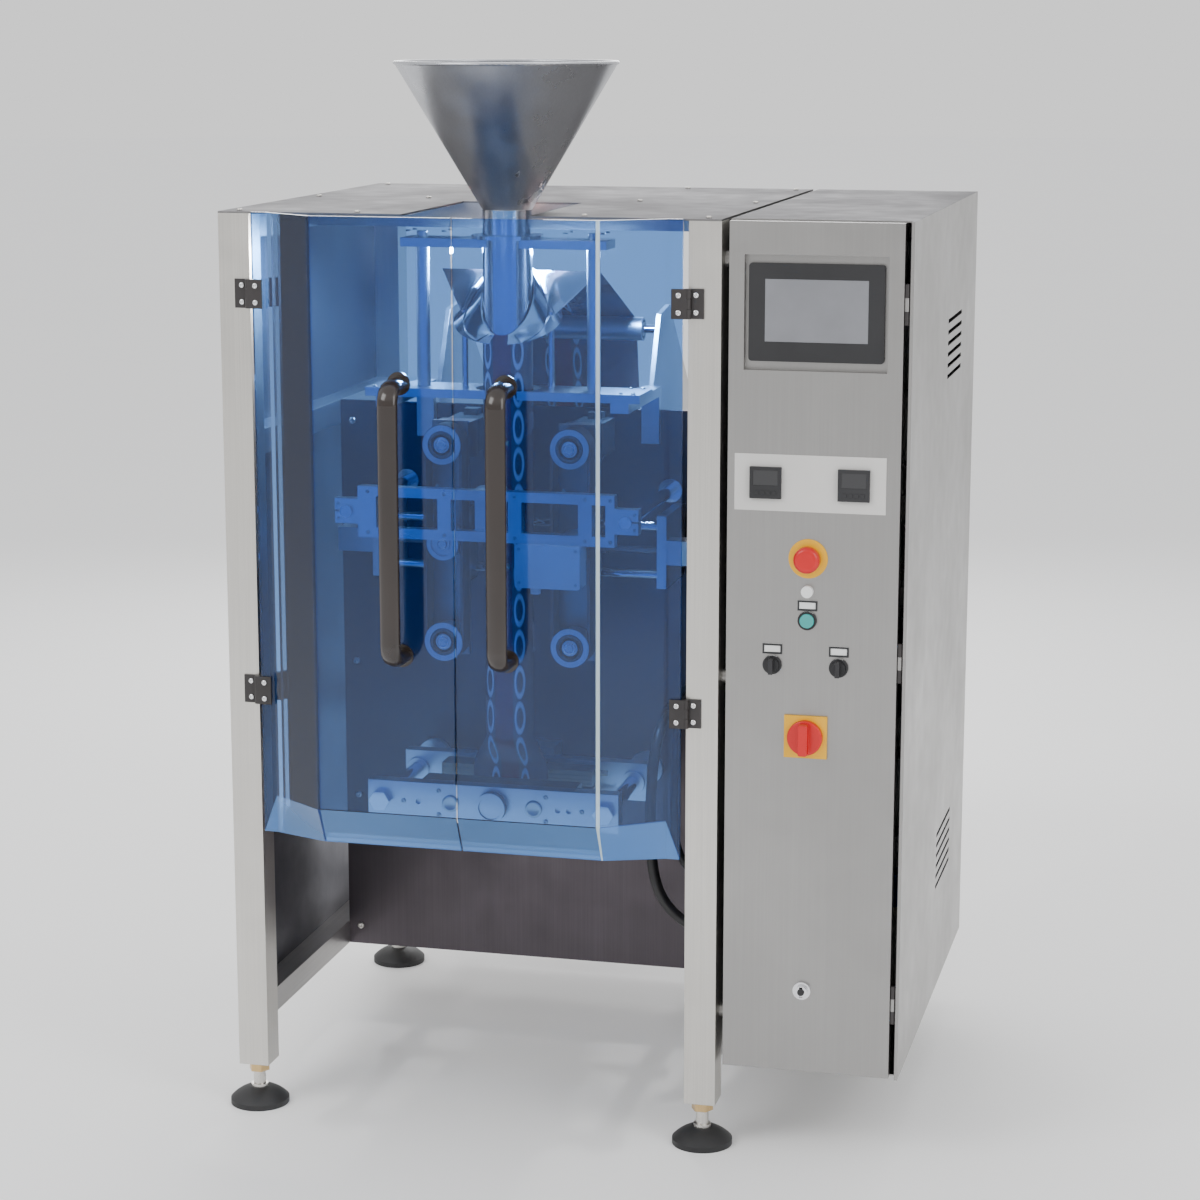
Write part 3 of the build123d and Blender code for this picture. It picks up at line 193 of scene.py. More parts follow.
def tinted_sheet(name, tint, haze, haze_amount):
    """Clear tinted acrylic: light passes straight through, with a polished face and a little haze."""
    material, tree, shader = new_material(name)
    cloud = object_noise(tree, 2.2, 4.0)
    wave = object_noise(tree, 5.0, 2.0, (1, 1, 0.15))
    scratch = object_noise(tree, 300.0, 2.0, (1, 1, 0.05))
    clear = add(tree, "ShaderNodeBsdfTransparent", {"Color": tint})
    dust = blend_colors(tree, spread(tree, cloud, 0, 1), haze, shade(haze, 1.25))
    tree.links.new(dust, shader.inputs["Base Color"])
    tree.links.new(spread(tree, scratch, 0.10, 0.22), shader.inputs["Roughness"])
    ripple = add(tree, "ShaderNodeBump", {"Height": wave, "Strength": 0.05, "Distance": 0.004}).outputs[0]
    tree.links.new(ripple, shader.inputs["Normal"])
    body = add(tree, "ShaderNodeMixShader", {0: haze_amount, 1: clear.outputs[0], 2: shader.outputs[0]})
    gloss = add(tree, "ShaderNodeBsdfGlossy", {"Roughness": 0.04, "Normal": ripple})
    edge_on = add(tree, "ShaderNodeFresnel", {"IOR": 1.49, "Normal": ripple}).outputs[0]
    faces = add(tree, "ShaderNodeMixShader", {0: edge_on, 1: body.outputs[0], 2: gloss.outputs[0]})
    tree.links.new(faces.outputs[0], tree.nodes["Material Output"].inputs["Surface"])
    return material


def compare(tree, value, target, half_width, soft=0.0006):
    """1 where value is within half_width of target, with a soft edge."""
    away = add(tree, "ShaderNodeMath", {0: value, 1: target}, operation="SUBTRACT").outputs[0]
    away = add(tree, "ShaderNodeMath", {0: away}, operation="ABSOLUTE").outputs[0]
    return spread(tree, away, 1, 0, half_width - soft, half_width + soft)


def times(tree, one, other):
    """One value times another."""
    return add(tree, "ShaderNodeMath", {0: one, 1: other}, operation="MULTIPLY").outputs[0]


def printed_film(name, across, along, columns, pitch):
    """Glossy film with ornament columns of oval rings. across and along are sockets made from the tree."""
    material, tree, shader = new_material(name)
    side, run = across(tree), along(tree)
    wrapped = add(tree, "ShaderNodeMath", {0: run, 1: pitch, 2: 0.0}, operation="WRAP").outputs[0]
    lift = add(tree, "ShaderNodeMath", {0: wrapped, 1: pitch / 2}, operation="SUBTRACT").outputs[0]
    ink = add(tree, "ShaderNodeValue")
    ink.outputs[0].default_value = 0.0
    rings = ink.outputs[0]
    for column in columns:
        off = add(tree, "ShaderNodeMath", {0: side, 1: column}, operation="SUBTRACT").outputs[0]
        pair = add(tree, "ShaderNodeCombineXYZ", {"X": off, "Y": times(tree, lift, 0.27)})
        reach = add(tree, "ShaderNodeVectorMath", {0: pair.outputs[0]}, operation="LENGTH").outputs["Value"]
        ring = compare(tree, reach, 0.0062, 0.0013)
        rings = add(tree, "ShaderNodeMath", {0: rings, 1: ring}, operation="MAXIMUM").outputs[0]
    band = compare(tree, side, sum(columns) / len(columns), abs(columns[0] - columns[-1]) / 2 - 0.010)
    foil = object_noise(tree, 8.0, 4.0)
    base = blend_colors(tree, spread(tree, foil, 0, 1), (0.17, 0.10, 0.10, 1), (0.25, 0.15, 0.14, 1))
    base = blend_colors(tree, band, base, (0.34, 0.035, 0.05, 1))
    base = blend_colors(tree, rings, base, (0.86, 0.88, 0.90, 1))
    tree.links.new(base, shader.inputs["Base Color"])
    wrinkle = object_noise(tree, 26.0, 3.0, (1, 1, 0.35))
    bump = add(tree, "ShaderNodeBump", {"Height": wrinkle, "Strength": 0.35, "Distance": 0.003}).outputs[0]
    tree.links.new(bump, shader.inputs["Normal"])
    tree.links.new(spread(tree, foil, 0.16, 0.30), shader.inputs["Roughness"])
    shader.inputs["Coat Weight"].default_value = 0.6
    return material


# ------------------------------------------------------------------ materials
steel_post = metal("steel_post", (0.66, 0.64, 0.60), "z", 0.36, 0.05, 0.10, tarnish=0.94)
steel_sheet_z = metal("steel_sheet_z", (0.56, 0.555, 0.55), "z", 0.34, 0.05, 0.12)
# A darker copy of the sheet steel, with dulled grazing reflections: painted shade on the tops of the cover
# and the cabinet.
steel_top_painted_shade = metal("steel_top_painted_shade", (0.24, 0.235, 0.235), "x", 0.40, 0.05, 0.12)
steel_top_painted_shade.node_tree.nodes["Principled BSDF"].inputs["Specular Tint"].default_value = (0.25, 0.25, 0.26, 1)
# A dark copy of the sheet steel: painted shade on the panels' faces inside the machine.
steel_inner_painted_shade = metal("steel_inner_painted_shade", (0.15, 0.15, 0.17), "z", 0.45, 0.05, 0.12)
steel_cabinet = metal("steel_cabinet", (0.38, 0.372, 0.362), "z", 0.37, 0.03, 0.10, tarnish=0.92)
steel_plate = metal("steel_plate", (0.10, 0.088, 0.098), "z", 0.40, 0.06, 0.12)
steel_rails = metal("steel_rails", (0.52, 0.51, 0.50), "y", 0.38, 0.06, 0.10)
aluminium = metal("aluminium", (0.80, 0.80, 0.81), "x", 0.33, 0.05, 0.08)
anodised = metal("anodised", (0.70, 0.71, 0.73), "y", 0.40, 0.03, 0.06)
polished = metal("polished", (0.52, 0.53, 0.56), "z", 0.30, 0.05, 0.10, relief=0.05)
bright = metal("bright", (0.82, 0.82, 0.83), "z", 0.14, 0.03, 0.05, relief=0.04, rounding=0.0004)
chrome = metal("chrome", (0.80, 0.80, 0.82), "y", 0.12, 0.03, 0.05, relief=0.03, rounding=0.0005)
zinc = metal("zinc", (0.68, 0.66, 0.62), "z", 0.30, 0.08, 0.10, rounding=0.0005)
brass = metal("brass", (0.66, 0.46, 0.22), "z", 0.28, 0.08, 0.10, rounding=0.0005)
bronze = metal("bronze", (0.52, 0.43, 0.30), "x", 0.36, 0.08, 0.10)
rubber = plastic("rubber", (0.022, 0.022, 0.023), 0.55, 0.25, 0.30, 500.0)
belt_rubber = plastic("belt_rubber", (0.23, 0.12, 0.09), 0.50, 0.12, 0.35, 420.0)
# Brown on the belt units' plates: a painted reflection of the brown film.
belt_plate_painted_reflection = metal("belt_plate_painted_reflection", (0.42, 0.30, 0.25), "z", 0.36, 0.05, 0.10)
foil = metal("foil", (0.78, 0.78, 0.80), "z", 0.13, 0.06, 0.06, relief=0.3, rounding=0)
black_plastic = plastic("black_plastic", (0.020, 0.020, 0.022), 0.42, 0.20, 0.20)
handle_black = plastic("handle_black", (0.022, 0.015, 0.012), 0.22, 0.15, 0.03, 300.0, 0.0015, 0.35)
hinge_black = plastic("hinge_black", (0.030, 0.026, 0.026), 0.38, 0.20, 0.20, 700.0, 0.0012)
hose_rubber = plastic("hose_rubber", (0.022, 0.021, 0.022), 0.38, 0.20, 0.10, 300.0, 0)
white_plastic = plastic("white_plastic", (0.80, 0.81, 0.80), 0.42, 0.04, 0.10)
grey_plastic = plastic("grey_plastic", (0.55, 0.56, 0.56), 0.45, 0.05, 0.15)
dark_grey = plastic("dark_grey", (0.10, 0.105, 0.11), 0.45, 0.12, 0.15)
pale_panel = plastic("pale_panel", (0.62, 0.61, 0.59), 0.42, 0.03, 0.04, 300.0, 0.0004)
yellow_plastic = plastic("yellow_plastic", (0.82, 0.44, 0.004), 0.36, 0.05, 0.10)
red_plastic = plastic("red_plastic", (0.58, 0.003, 0.004), 0.34, 0.08, 0.04, 500.0, 0.0012, 0.1)
teal_plastic = plastic("teal_plastic", (0.03, 0.36, 0.34), 0.28, 0.08, 0.04, 500.0, 0.0010, 0.4)
blue_plastic = plastic("blue_plastic", (0.02, 0.08, 0.35), 0.35, 0.08, 0.08)
screen_glass = plastic("screen_glass", (0.20, 0.205, 0.225), 0.10, 0.10, 0.01, 300.0, 0, 1.0)
window_glass = plastic("window_glass", (0.012, 0.012, 0.014), 0.10, 0.10, 0.01, 300.0, 0, 1.0)
blue_sheet = tinted_sheet("blue_sheet", (0.38, 0.60, 0.90, 1), (0.03, 0.12, 0.48, 1), 0.055)
# A lighter, hazier copy of the blue sheet: painted light on the doors' lip and on the sheet's flat top and
# bottom faces.
blue_sheet_painted_light = tinted_sheet("blue_sheet_painted_light", (0.40, 0.62, 0.92, 1), (0.10, 0.32, 0.78, 1), 0.40)
# A pale, hazy copy of the blue sheet: a painted highlight along the right door's bend.
fold_painted_highlight = tinted_sheet("fold_painted_highlight", (0.70, 0.84, 0.98, 1), (0.62, 0.78, 0.95, 1), 0.60)


def film_side(tree):
    """How far to the right of the forming tube's middle a point is, in metres."""
    coords = add(tree, "ShaderNodeTexCoord").outputs["Object"]
    parts = add(tree, "ShaderNodeSeparateXYZ", {0: coords})
    dx = add(tree, "ShaderNodeMath", {0: parts.outputs[0], 1: tube_x}, operation="SUBTRACT").outputs[0]
    return dx


def height(tree):
    """How far above the floor a point is, in metres."""
    coords = add(tree, "ShaderNodeTexCoord").outputs["Object"]
    return add(tree, "ShaderNodeSeparateXYZ", {0: coords}).outputs[2]


film_print = printed_film("film_print", film_side, height, (-0.025, 0.025), 0.060)
web_print = printed_film("web_print", film_side, height, (-0.025, 0.025), 0.060)


def roll_film():
    """The reel: printed film outside, and the edges of many turns on its flat ends."""
    material, tree, shader = new_material("roll_film")
    reel = tuple(at(0, reel_d, reel_z))
    coords = add(tree, "ShaderNodeTexCoord").outputs["Object"]
    arm = add(tree, "ShaderNodeVectorMath", {0: coords, 1: reel}, operation="SUBTRACT").outputs[0]
    flat = add(tree, "ShaderNodeVectorMath", {0: arm, 1: (0, 1, 1)}, operation="MULTIPLY").outputs[0]
    reach = add(tree, "ShaderNodeVectorMath", {0: flat}, operation="LENGTH").outputs["Value"]
    rings = add(tree, "ShaderNodeCombineXYZ", {"X": reach})
    turns = add(tree, "ShaderNodeTexNoise", {"Vector": rings.outputs[0], "Scale": 900.0, "Detail": 4.0})
    turn_tone = spread(tree, turns.outputs["Fac"], 0, 1)
    edge = blend_colors(tree, turn_tone, (0.50, 0.36, 0.33, 1), (0.78, 0.70, 0.66, 1))
    outer = compare(tree, reach, reel_radius / 1000, 0.0012, 0.0004)
    skin = blend_colors(tree, object_noise(tree, 18.0), (0.20, 0.11, 0.11, 1), (0.30, 0.16, 0.15, 1))
    band = compare(tree, film_side(tree), 0.0, 0.015)
    skin = blend_colors(tree, band, skin, (0.36, 0.04, 0.05, 1))
    tree.links.new(blend_colors(tree, outer, edge, skin), shader.inputs["Base Color"])
    ridges = {"Height": turns.outputs["Fac"], "Strength": 0.3, "Distance": 0.0006}
    tree.links.new(add(tree, "ShaderNodeBump", ridges).outputs[0], shader.inputs["Normal"])
    tree.links.new(spread(tree, outer, 0.50, 0.22, 0, 1), shader.inputs["Roughness"])
    return material


reel_material = roll_film()

# ------------------------------------------------------------------ materials on the CAD nodes
looks = (
    (steel_post, "frame_posts"),
    (steel_rails, "frame_rails"),
    # The cover's top keeps this painted shade; its lower faces are given the plain sheet further down.
    (steel_top_painted_shade, "outer_panels"),
    (steel_plate, "mounting_plate"),
    (rubber, "foot_pads"),
    (zinc, "foot_stems cabinet_electrics"),
    (aluminium, "forming_shelf forming_bridge rod_brackets cross_plate front_carrier rear_jaw dancer_arm"),
    (bright, "forming_tube forming_collar knife"),
    (polished, "funnel"),
    # The belt units' plates carry the painted reflection of the film.
    (belt_plate_painted_reflection, "belt_unit_left belt_unit_right"),
    (belt_rubber, "pull_belt_left pull_belt_right"),
    (
        anodised,
        "drive_pulley_left drive_pulley_right return_pulley_left return_pulley_right "
        "air_cylinders idler_rear idler_top dancer_roller"
    ),
    (chrome, "guide_rods jaw_rods roller_shafts reel_spindle cam_lock"),
    (bronze, "vertical_sealer front_jaw"),
    (white_plastic, "sensor_box"),
    (steel_sheet_z, "film_side_plates"),
    (reel_material, "film_roll"),
    (blue_sheet, "left_door right_door"),
    (hinge_black, "left_door_fittings right_door_fittings fixed_hinges"),
    (steel_cabinet, "cabinet_shell cabinet_door"),
    (black_plastic, "hmi_housing panel_fittings selector_left selector_right hose_glands"),
    (screen_glass, "hmi_screen"),
    (red_plastic, "estop_button switch_knob"),
    (teal_plastic, "green_button"),
)
for material, names in looks:
    for name in names.split():
        mesh = nodes[name].data
        mesh.materials.clear()
        mesh.materials.append(material)


def paint(name, material, inside):
    """Gives the faces of a CAD node whose middle passes the test another material slot."""
    mesh = nodes[name].data
    mesh.materials.append(material)
    slot = len(mesh.materials) - 1
    for face in mesh.polygons:
        if inside(face.center, face.normal):
            face.material_index = slot


def near(u, z, reach):
    """A test for faces within reach (mm) of a point of the cabinet's door."""
    middle = at(u, 0, z)
    return lambda c, n: abs(c.x - middle.x) < reach / 1000 and abs(c.z - middle.z) < reach / 1000


below_cover = 1.4575
paint("outer_panels", steel_sheet_z, lambda c, n: c.z < below_cover)
# The panels' faces that look inward towards the tube get painted shade.
paint("outer_panels", steel_inner_painted_shade, lambda c, n: c.z < below_cover and n.x * (c.x - tube_x) < -0.2)
# The cabinet's top faces get the same painted shade as the cover.
paint("cabinet_shell", steel_top_painted_shade, lambda c, n: n.z > 0.9 and c.z > 1.4)
paint("foot_stems", brass, lambda c, n: 0.0555 < c.z < 0.0725)
paint("panel_fittings", yellow_plastic, near(control_u, 955, 31))
paint("panel_fittings", yellow_plastic, near(control_u, 679, 34))
paint("panel_fittings", white_plastic, near(control_u, 905, 10))
for u, z in ((cabinet_u + 73, 814), (cabinet_u + 175, 814), (control_u, 883)):
    label = near(u, z, 12)
    paint("panel_fittings", white_plastic, lambda c, n: label(c, n) and c.y > at(0, 2.5, 0).y)
for u in (cabinet_u + 60, cabinet_u + 194):
    window = near(u, 1077, 20)
    paint("panel_fittings", window_glass, lambda c, n: window(c, n) and n.y < -0.9 and c.y > at(0, -2.5, 0).y)
paint("hmi_housing", pale_panel, lambda c, n: c.z < 1.15)
paint("rear_jaw", bronze, lambda c, n: c.y < at(0, 320, 0).y)
paint("front_carrier", dark_grey, lambda c, n: c.y < at(0, 125, 0).y and n.y > -0.5)
for side in ("left", "right"):
    paint(f"belt_unit_{side}", dark_grey, lambda c, n: c.z > 1.046 and c.y > at(0, 329, 0).y)
    paint(f"belt_unit_{side}", anodised, lambda c, n: c.y < at(0, 262, 0).y)
    # The lip and the sheet's flat top and bottom faces get the painted light copy of the blue sheet.
    paint(f"{side}_door", blue_sheet_painted_light, lambda c, n: c.z < lip_start_z / 1000 or abs(n.z) > 0.9)
    paint(f"{side}_door_fittings", handle_black, lambda c, n: 0.75 < c.z < 1.25)


def drive(*spans):
    """A test for faces on the fronts of the drives and breakers, within spans of height in metres."""
    return lambda c, n: c.y < at(0, 329, 0).y and any(bottom < c.z < top for bottom, top in spans)


paint("cabinet_electrics", grey_plastic, drive((0.495, 0.59), (1.10, cover_z / 1000)))
paint("cabinet_electrics", dark_grey, drive((0.60, 1.10)))
paint("cabinet_electrics", blue_plastic, drive((0.325, 0.39)))
half_duct = 0.0155
for z in (0.44, 0.64, 0.85, 1.16, 1.40):
    paint("cabinet_electrics", pale_panel, drive((z - half_duct, z + half_duct)))


# ------------------------------------------------------------------ piece kit
def piece(name, verts, faces, body, material):
    """A mesh piece that rides on a body, or on none."""
    mesh = bpy.data.meshes.new(name)
    mesh.from_pydata([tuple(v) for v in verts], [], faces)
    mesh.validate()
    obj = bpy.data.objects.new(name, mesh)
    bpy.context.collection.objects.link(obj)
    mesh.materials.append(material)
    bm = bmesh.new()
    bm.from_mesh(mesh)
    bmesh.ops.recalc_face_normals(bm, faces=bm.faces)
    bm.to_mesh(mesh)
    bm.free()
    mesh.shade_smooth()
    if body:
        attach(obj, body)
    return obj


def turned(profile, spots, direction, steps=20):
    """The mesh of one turned shape, repeated at many spots. The profile is (radius, height) in mm."""
    frame_axes = Vector(direction).to_track_quat("Z", "Y").to_matrix()
    verts, faces = [], []
    for spot in spots:
        start = len(verts)
        for radius, rise in profile:
            for step in range(steps):
                angle = 2 * math.pi * step / steps
                local = Vector((radius * math.cos(angle), radius * math.sin(angle), rise)) / 1000
                verts.append(Vector(spot) + frame_axes @ local)
        for ring in range(len(profile) - 1):
            for step in range(steps):
                a = start + ring * steps + step
                b = start + ring * steps + (step + 1) % steps
                faces.append((a, b, b + steps, a + steps))
        faces.append(tuple(range(start, start + steps))[::-1])
        faces.append(tuple(range(start + (len(profile) - 1) * steps, start + len(profile) * steps)))
    return verts, faces


def screws(name, spots, direction, radius, body, material=zinc):
    """Domed socket screws, standing on a surface."""
    r = radius
    profile = [(r, -0.2), (r, 0.25 * r), (0.88 * r, 0.48 * r), (0.62 * r, 0.62 * r), (0.46 * r, 0.64 * r)]
    profile += [(0.44 * r, 0.60 * r), (0.42 * r, 0.20 * r), (0.05 * r, 0.18 * r)]
    verts, faces = turned(profile, spots, direction, 18)
    return piece(name, verts, faces, body, material)


def caps(name, spots, direction, radius, rise, body, material):
    """Round caps with a rolled edge and a dished face."""
    r = radius
    profile = [(r, -0.2), (r, rise * 0.7), (r * 0.94, rise), (r * 0.7, rise), (r * 0.62, rise * 0.8)]
    profile.append((0.3, rise * 0.8))
    verts, faces = turned(profile, spots, direction, 32)
    return piece(name, verts, faces, body, material)


# ------------------------------------------------------------------ hoses
def hose(name, route, diameter):
    """A black air hose between two glands, as a smooth curve through its route's control points."""
    curve = bpy.data.curves.new(name, "CURVE")
    curve.dimensions = "3D"
    curve.bevel_depth = diameter / 2000
    curve.bevel_resolution = 6
    curve.resolution_u = 12
    spline = curve.splines.new("NURBS")
    spline.points.add(len(route) - 1)
    for point, place in zip(spline.points, route):
        point.co = (*at(*place), 1)
    spline.order_u = 3
    spline.use_endpoint_u = True
    curve.materials.append(hose_rubber)
    obj = bpy.data.objects.new(name, curve)
    bpy.context.collection.objects.link(obj)
    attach(obj, "frame")
    return obj


route_a = [(231, 408, 600), (231, 354, 600), (231, 305.5, 572), (231, 277.5, 523.5), (231, 262.5, 437)]
route_a += [(239, 262, 349), (267, 262, 300.5), (315.5, 262, 272.5), (369.5, 262, 272.5)]
hose_a = hose("air_hose_a", route_a, 18)
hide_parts("hose_a")
route_b = [(265, 408, 640), (265, 366, 640), (265, 328.5, 618.5), (265, 307, 581), (265, 298, 522.5)]
route_b += [(265.5, 293.5, 463), (268.5, 293, 404), (290, 293, 366.5), (327.5, 293, 345), (369.5, 293, 345)]
hose_b = hose("air_hose_b", route_b, 14)
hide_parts("hose_b")

# ------------------------------------------------------------------ film
film_r = 40.8
collar_z, ridge_rise = 1315.0, math.tan(math.radians(54))


def sleeve_ring(z_share, steps=120):
    """One ring of the film sleeve: round on the tube, and flat between the jaws."""
    ring = []
    for step in range(steps):
        angle = 2 * math.pi * step / steps
        back = math.cos(angle)
        top = collar_z + film_r * ridge_rise * back - 1
        z = top + (504 - top) * z_share
        flat = min(1.0, max(0.0, (600 - z) / 63))
        flat = flat * flat * (3 - 2 * flat)
        half_w = film_r + (63.6 - film_r) * flat
        half_d = film_r + (0.8 - film_r) * flat
        pull = 0.0 if z > 600 else 1.2 * flat * (1 - flat) * math.sin(9 * angle)
        ring.append(at(half_w * math.sin(angle), tube_depth + (half_d + pull) * back, z))
    return ring


def grid_faces(rows, columns, closed):
    """The faces of a grid of vertices, row by row, whose rows may close into rings."""
    faces = []
    for row in range(rows - 1):
        for column in range(columns if closed else columns - 1):
            a, b = row * columns + column, row * columns + (column + 1) % columns
            faces.append((a, b, b + columns, a + columns))
    return faces


rows = 150
verts = [point for row in range(rows) for point in sleeve_ring(row / (rows - 1))]
sleeve = piece("film_sleeve", verts, grid_faces(rows, 120, True), "frame", film_print)
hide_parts("film_tube")


def collar_point(angle, share, off):
    """A point off mm above the steel collar. share is 0 at its ridge and 1 at its edge, angle 0 behind."""
    across, back = math.sin(angle), math.cos(angle)
    ridge = Vector((43.5 * across, 43.5 * back, 43.5 * ridge_rise * back))
    edge = Vector((88 * across, 60.6 * back, 35 * back - 35))
    u, v, z = ridge.lerp(edge, share)
    return at(u + off * across, tube_depth + v + off * back * 0.7, collar_z + z + off * 0.8)


rows, columns = 16, 121
verts = []
for row in range(rows):
    share = row / (rows - 1)
    for column in range(columns):
        angle = math.radians(-155 + 310 * column / (columns - 1))
        ripple = 1.2 + 0.7 * math.sin(5 * angle + 3 * share) * share
        verts.append(collar_point(angle, share, ripple))
collar_film = piece("collar_film", verts, grid_faces(rows, columns, False), "frame", foil)
verts = []
for row in range(rows):
    share = row / (rows - 1)
    for column in range(columns):
        side = -1 + 2 * column / (columns - 1)
        join = collar_point(math.radians(155 * side), abs(side) ** 1.5, 2.4)
        sag = at(0, tube_depth, 0) - at(0, tube_depth, 4 * math.sin(math.pi * share) * abs(side))
        verts.append(at(133 * side, 319, 1352).lerp(join, share) + sag)
shoulder_film = piece("shoulder_film", verts, grid_faces(rows, columns, False), "frame", foil)


def straight(one, other):
    """The film's straight run between two circles (d, z, radius), a negative radius turning to the right."""
    (d0, z0, r0), (d1, z1, r1) = one, other
    gap = math.hypot(d1 - d0, z1 - z0)
    run = math.sqrt(gap**2 - (r1 - r0) ** 2)
    heading = math.atan2(z1 - z0, d1 - d0) - math.atan2(r1 - r0, run)
    return [(d + r * math.sin(heading), z - r * math.cos(heading)) for d, z, r in (one, other)]


circles = [(reel_d, reel_z, 150.6), (840, 960, 20.6), (715, 620, -20.6), (560, 1235, 20.6), (319, 1352, 0.0)]
runs = [straight(a, b) for a, b in zip(circles, circles[1:])]
line = []
for place, (start, end) in enumerate(runs):
    for step in range(24):
        share = step / 24
        line.append((start[0] + (end[0] - start[0]) * share, start[1] + (end[1] - start[1]) * share))
    if place + 1 < len(runs):
        d, z, r = circles[place + 1]
        leave = runs[place + 1][0]
        a0 = math.atan2(end[1] - z, end[0] - d)
        a1 = math.atan2(leave[1] - z, leave[0] - d)
        sweep = (a1 - a0) % (2 * math.pi) if r > 0 else -((a0 - a1) % (2 * math.pi))
        for step in range(12):
            angle = a0 + sweep * step / 12
            line.append((d + abs(r) * math.cos(angle), z + abs(r) * math.sin(angle)))
line.append(runs[-1][1])
widths = [-133 + 266 * k / 20 for k in range(21)]
verts = [at(u, d, z) for d, z in line for u in widths]
web = piece("film_web_strip", verts, grid_faces(len(line), 21, False), None, web_print)
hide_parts("film_web")
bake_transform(web)

# ------------------------------------------------------------------ screws and caps
SIDES = ((-1, "left"), (1, "right"))
for side, word in SIDES:
    for z in hinge_heights:
        spots = [at(side * (hinge_u + 12), -3, z + k) for k in (-hinge_hole, hinge_hole)]
        screws(f"hinge_screws_post_{word}_{z}", spots, FORWARD, 4.6, "frame", bright)
        spots = [at(side * (hinge_u - 13), -12, z + k) for k in (-hinge_hole, hinge_hole)]
        leaf = f"{word}_door_leaf"
        screws(f"hinge_screws_door_{word}_{z}", spots, FORWARD, 4.6, leaf, bright)


def fold_strip(side, word, material):
    """The rounded bend of a door's sheet, standing a little proud of the CAD's sharp crease."""
    verts = []
    levels = [(cover_z, 0), (1200, 0), (900, 0), (lip_start_z, 0), (lip_z, lip_back)]
    for z, back in levels:
        for step in range(9):
            turn = math.radians(-70 + 140 * step / 8)
            middle = at(side * (door_fold_u - 2), door_fold_d + 3.0 + back, z)
            reach = 0.0022 if z == lip_z else 0.0040
            verts.append(middle + Vector((side * math.sin(turn) * reach, -math.cos(turn) * 0.0040, 0)))
    faces = grid_faces(len(levels), 9, False)
    piece(f"{word}_door_fold", verts, faces, f"{word}_door_leaf", material)


# The left bend keeps the door's sheet; the right bend carries the painted highlight.
fold_strip(-1, "left", blue_sheet)
fold_strip(1, "right", fold_painted_highlight)

spots = [at(u, cross_d, cross_z + k) for u in (-194, -67, 49, 163, 204) for k in (-33, 33)]
screws("cross_plate_screws", spots, FORWARD, 3.2, "frame", zinc)
spots = [at(u, cross_d, cross_z + k) for u in (-243, 243) for k in (-12, 12)]
screws("clamp_screws", spots, FORWARD, 2.6, "frame", zinc)
spots = [at(u, carrier_d, jaw_z + k) for u in (-90, 90) for k in (-20, 20)]
spots += [at(u, carrier_d, jaw_z) for u in (-150, 150)]
screws("carrier_screws", spots, FORWARD, 4.0, "front_jaw_assembly", zinc)
spots = [at(u, carrier_d, jaw_z) for u in (-70, 70)]
caps("carrier_caps", spots, FORWARD, 14, 3.5, "front_jaw_assembly", zinc)
spots = [at(u, d, bridge_z) for u in (-160, -100, 100, 160) for d in (222, 258)]
screws("bridge_screws", spots, UP, 4.0, "frame", zinc)
spots = [at(u, d, shelf_z) for u in (-215, -195, 195, 215) for d in (205, 275)]
screws("shelf_screws", spots, UP, 4.0, "frame", zinc)
spots = [at(u, d, cover_z) for u in (-372, -180, 180, 372) for d in (28, 400, 772)]
screws("cover_screws", spots, UP, 4.5, "frame", zinc)
spots = [at(u, 430, z) for u in (-330, 330) for z in (180, 420, 660, 900, 1080)]
screws("plate_screws", spots, FORWARD, 6.0, "frame", zinc)
for side, word in SIDES:
    body = f"{word}_belt_carriage"
    spots = [at(side * pulley_u + k, 266, z) for k in (-22, 22) for z in (735, 1000, 1050)]
    screws(f"unit_screws_{word}", spots, FORWARD, 3.4, body, zinc)
    axle = [at(side * pulley_u, pulley_d, 912)]
    caps(f"axle_caps_{word}", axle, FORWARD, 8, 2.5, body, bright)
    for z, ring in pulley_levels:
        pulley, hub = f"{word}_{ring}_pulley", [at(side * pulley_u, pulley_d, z)]
        caps(f"pulley_cap_{word}_{ring}", hub, FORWARD, 10, 2.5, pulley, bright)
        # A dark ring on the pulley's face: painted shade standing in for a groove.
        verts, faces = turned([(23, -0.2), (23, 0.5), (17, 0.5), (17, -0.2)], hub, FORWARD, 48)
        piece(f"pulley_groove_{word}_{ring}", verts, faces, pulley, dark_grey)
lock_face = Vector((at(control_u, 0, 0).x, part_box("cam_lock")[0].y, 0.274))
caps("lock_core", [lock_face], FORWARD, 5.5, 2.0, "lock_cam", black_plastic)
spots = [at(u, 87, z) for u in (58, 150) for z in (880, 934)]
screws("sensor_box_screws", spots, FORWARD, 2.6, "frame", zinc)

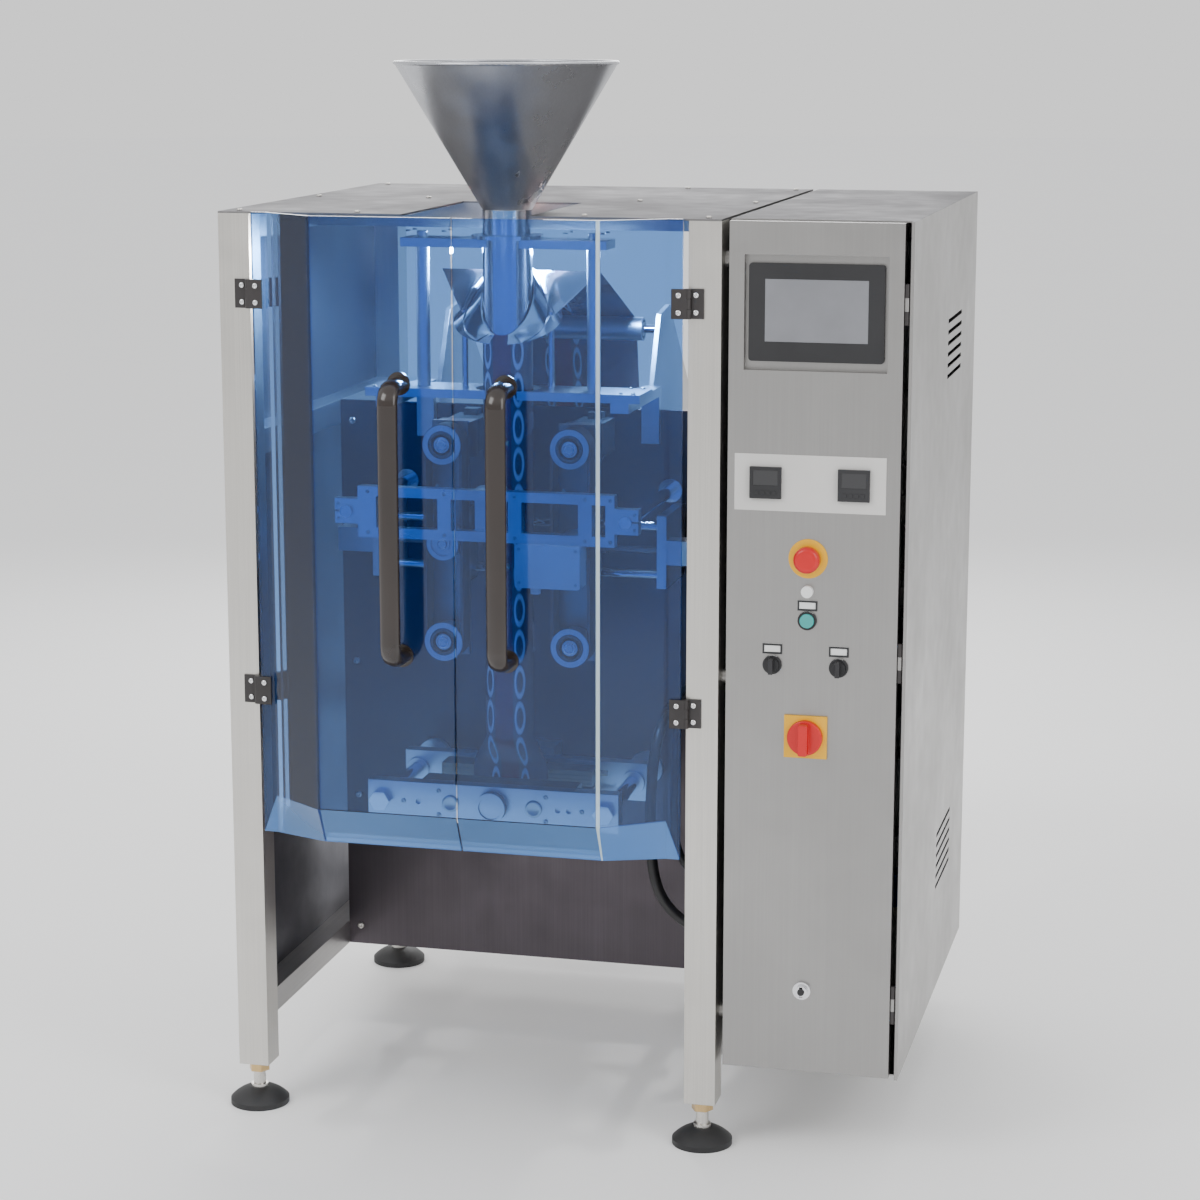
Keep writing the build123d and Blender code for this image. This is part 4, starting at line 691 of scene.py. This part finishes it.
# ------------------------------------------------------------------ floor and light
bm = bmesh.new()
bmesh.ops.create_circle(bm, cap_ends=True, radius=40, segments=96)
floor_mesh = bpy.data.meshes.new("floor")
bm.to_mesh(floor_mesh)
bm.free()
floor = bpy.data.objects.new("floor", floor_mesh)
bpy.context.collection.objects.link(floor)
pale, tree, shader = new_material("floor_pale")
tone = blend_colors(tree, object_noise(tree, 1.2, 4.0), (0.95, 0.95, 0.95, 1), (0.97, 0.97, 0.97, 1))
tree.links.new(tone, shader.inputs["Base Color"])
shader.inputs["Roughness"].default_value = 0.8
shader.inputs["Specular IOR Level"].default_value = 0.1
floor_mesh.materials.append(pale)

world = bpy.data.worlds.new("studio")
bpy.context.scene.world = world
world.use_nodes = True
sky = world.node_tree
heading = add(sky, "ShaderNodeSeparateXYZ", {0: add(sky, "ShaderNodeTexCoord").outputs["Generated"]})
rear = spread(sky, heading.outputs[1], 0, 1, -0.30, 0.60)
wall = blend_colors(sky, rear, (0.60, 0.60, 0.605, 1), (0.86, 0.86, 0.86, 1))
tint = blend_colors(sky, spread(sky, heading.outputs[2], 0, 1, 0.22, 0.48), wall, (0.95, 0.95, 0.95, 1))
tint = blend_colors(sky, spread(sky, heading.outputs[2], 0, 1, 0.60, 0.95), tint, (0.84, 0.85, 0.87, 1))
background = sky.nodes["Background"]
sky.links.new(tint, background.inputs["Color"])
background.inputs["Strength"].default_value = 1.25


def softbox(name, place, target, size, power):
    """A large soft light that faces a point."""
    light = bpy.data.lights.new(name, "AREA")
    light.shape = "RECTANGLE"
    light.size, light.size_y = size
    light.energy = power
    obj = bpy.data.objects.new(name, light)
    bpy.context.collection.objects.link(obj)
    obj.location = place
    obj.rotation_euler = (Vector(target) - Vector(place)).to_track_quat("-Z", "Y").to_euler()


softbox("key", (-2.6, -3.4, 3.6), (0, 0, 0.9), (2.2, 2.2), 80)
softbox("fill", (3.2, -2.2, 2.4), (0.1, 0, 0.8), (1.6, 2.6), 45)
softbox("top", (0, 0.9, 4.0), (0, 0.1, 0.5), (2.4, 1.6), 20)
softbox("inside", (-0.13, -0.10, 1.38), (-0.13, -0.35, 0.6), (0.30, 0.08), 40)
softbox("back", (-1.0, 3.6, 2.6), (0, 0, 0.8), (2.4, 2.0), 70)
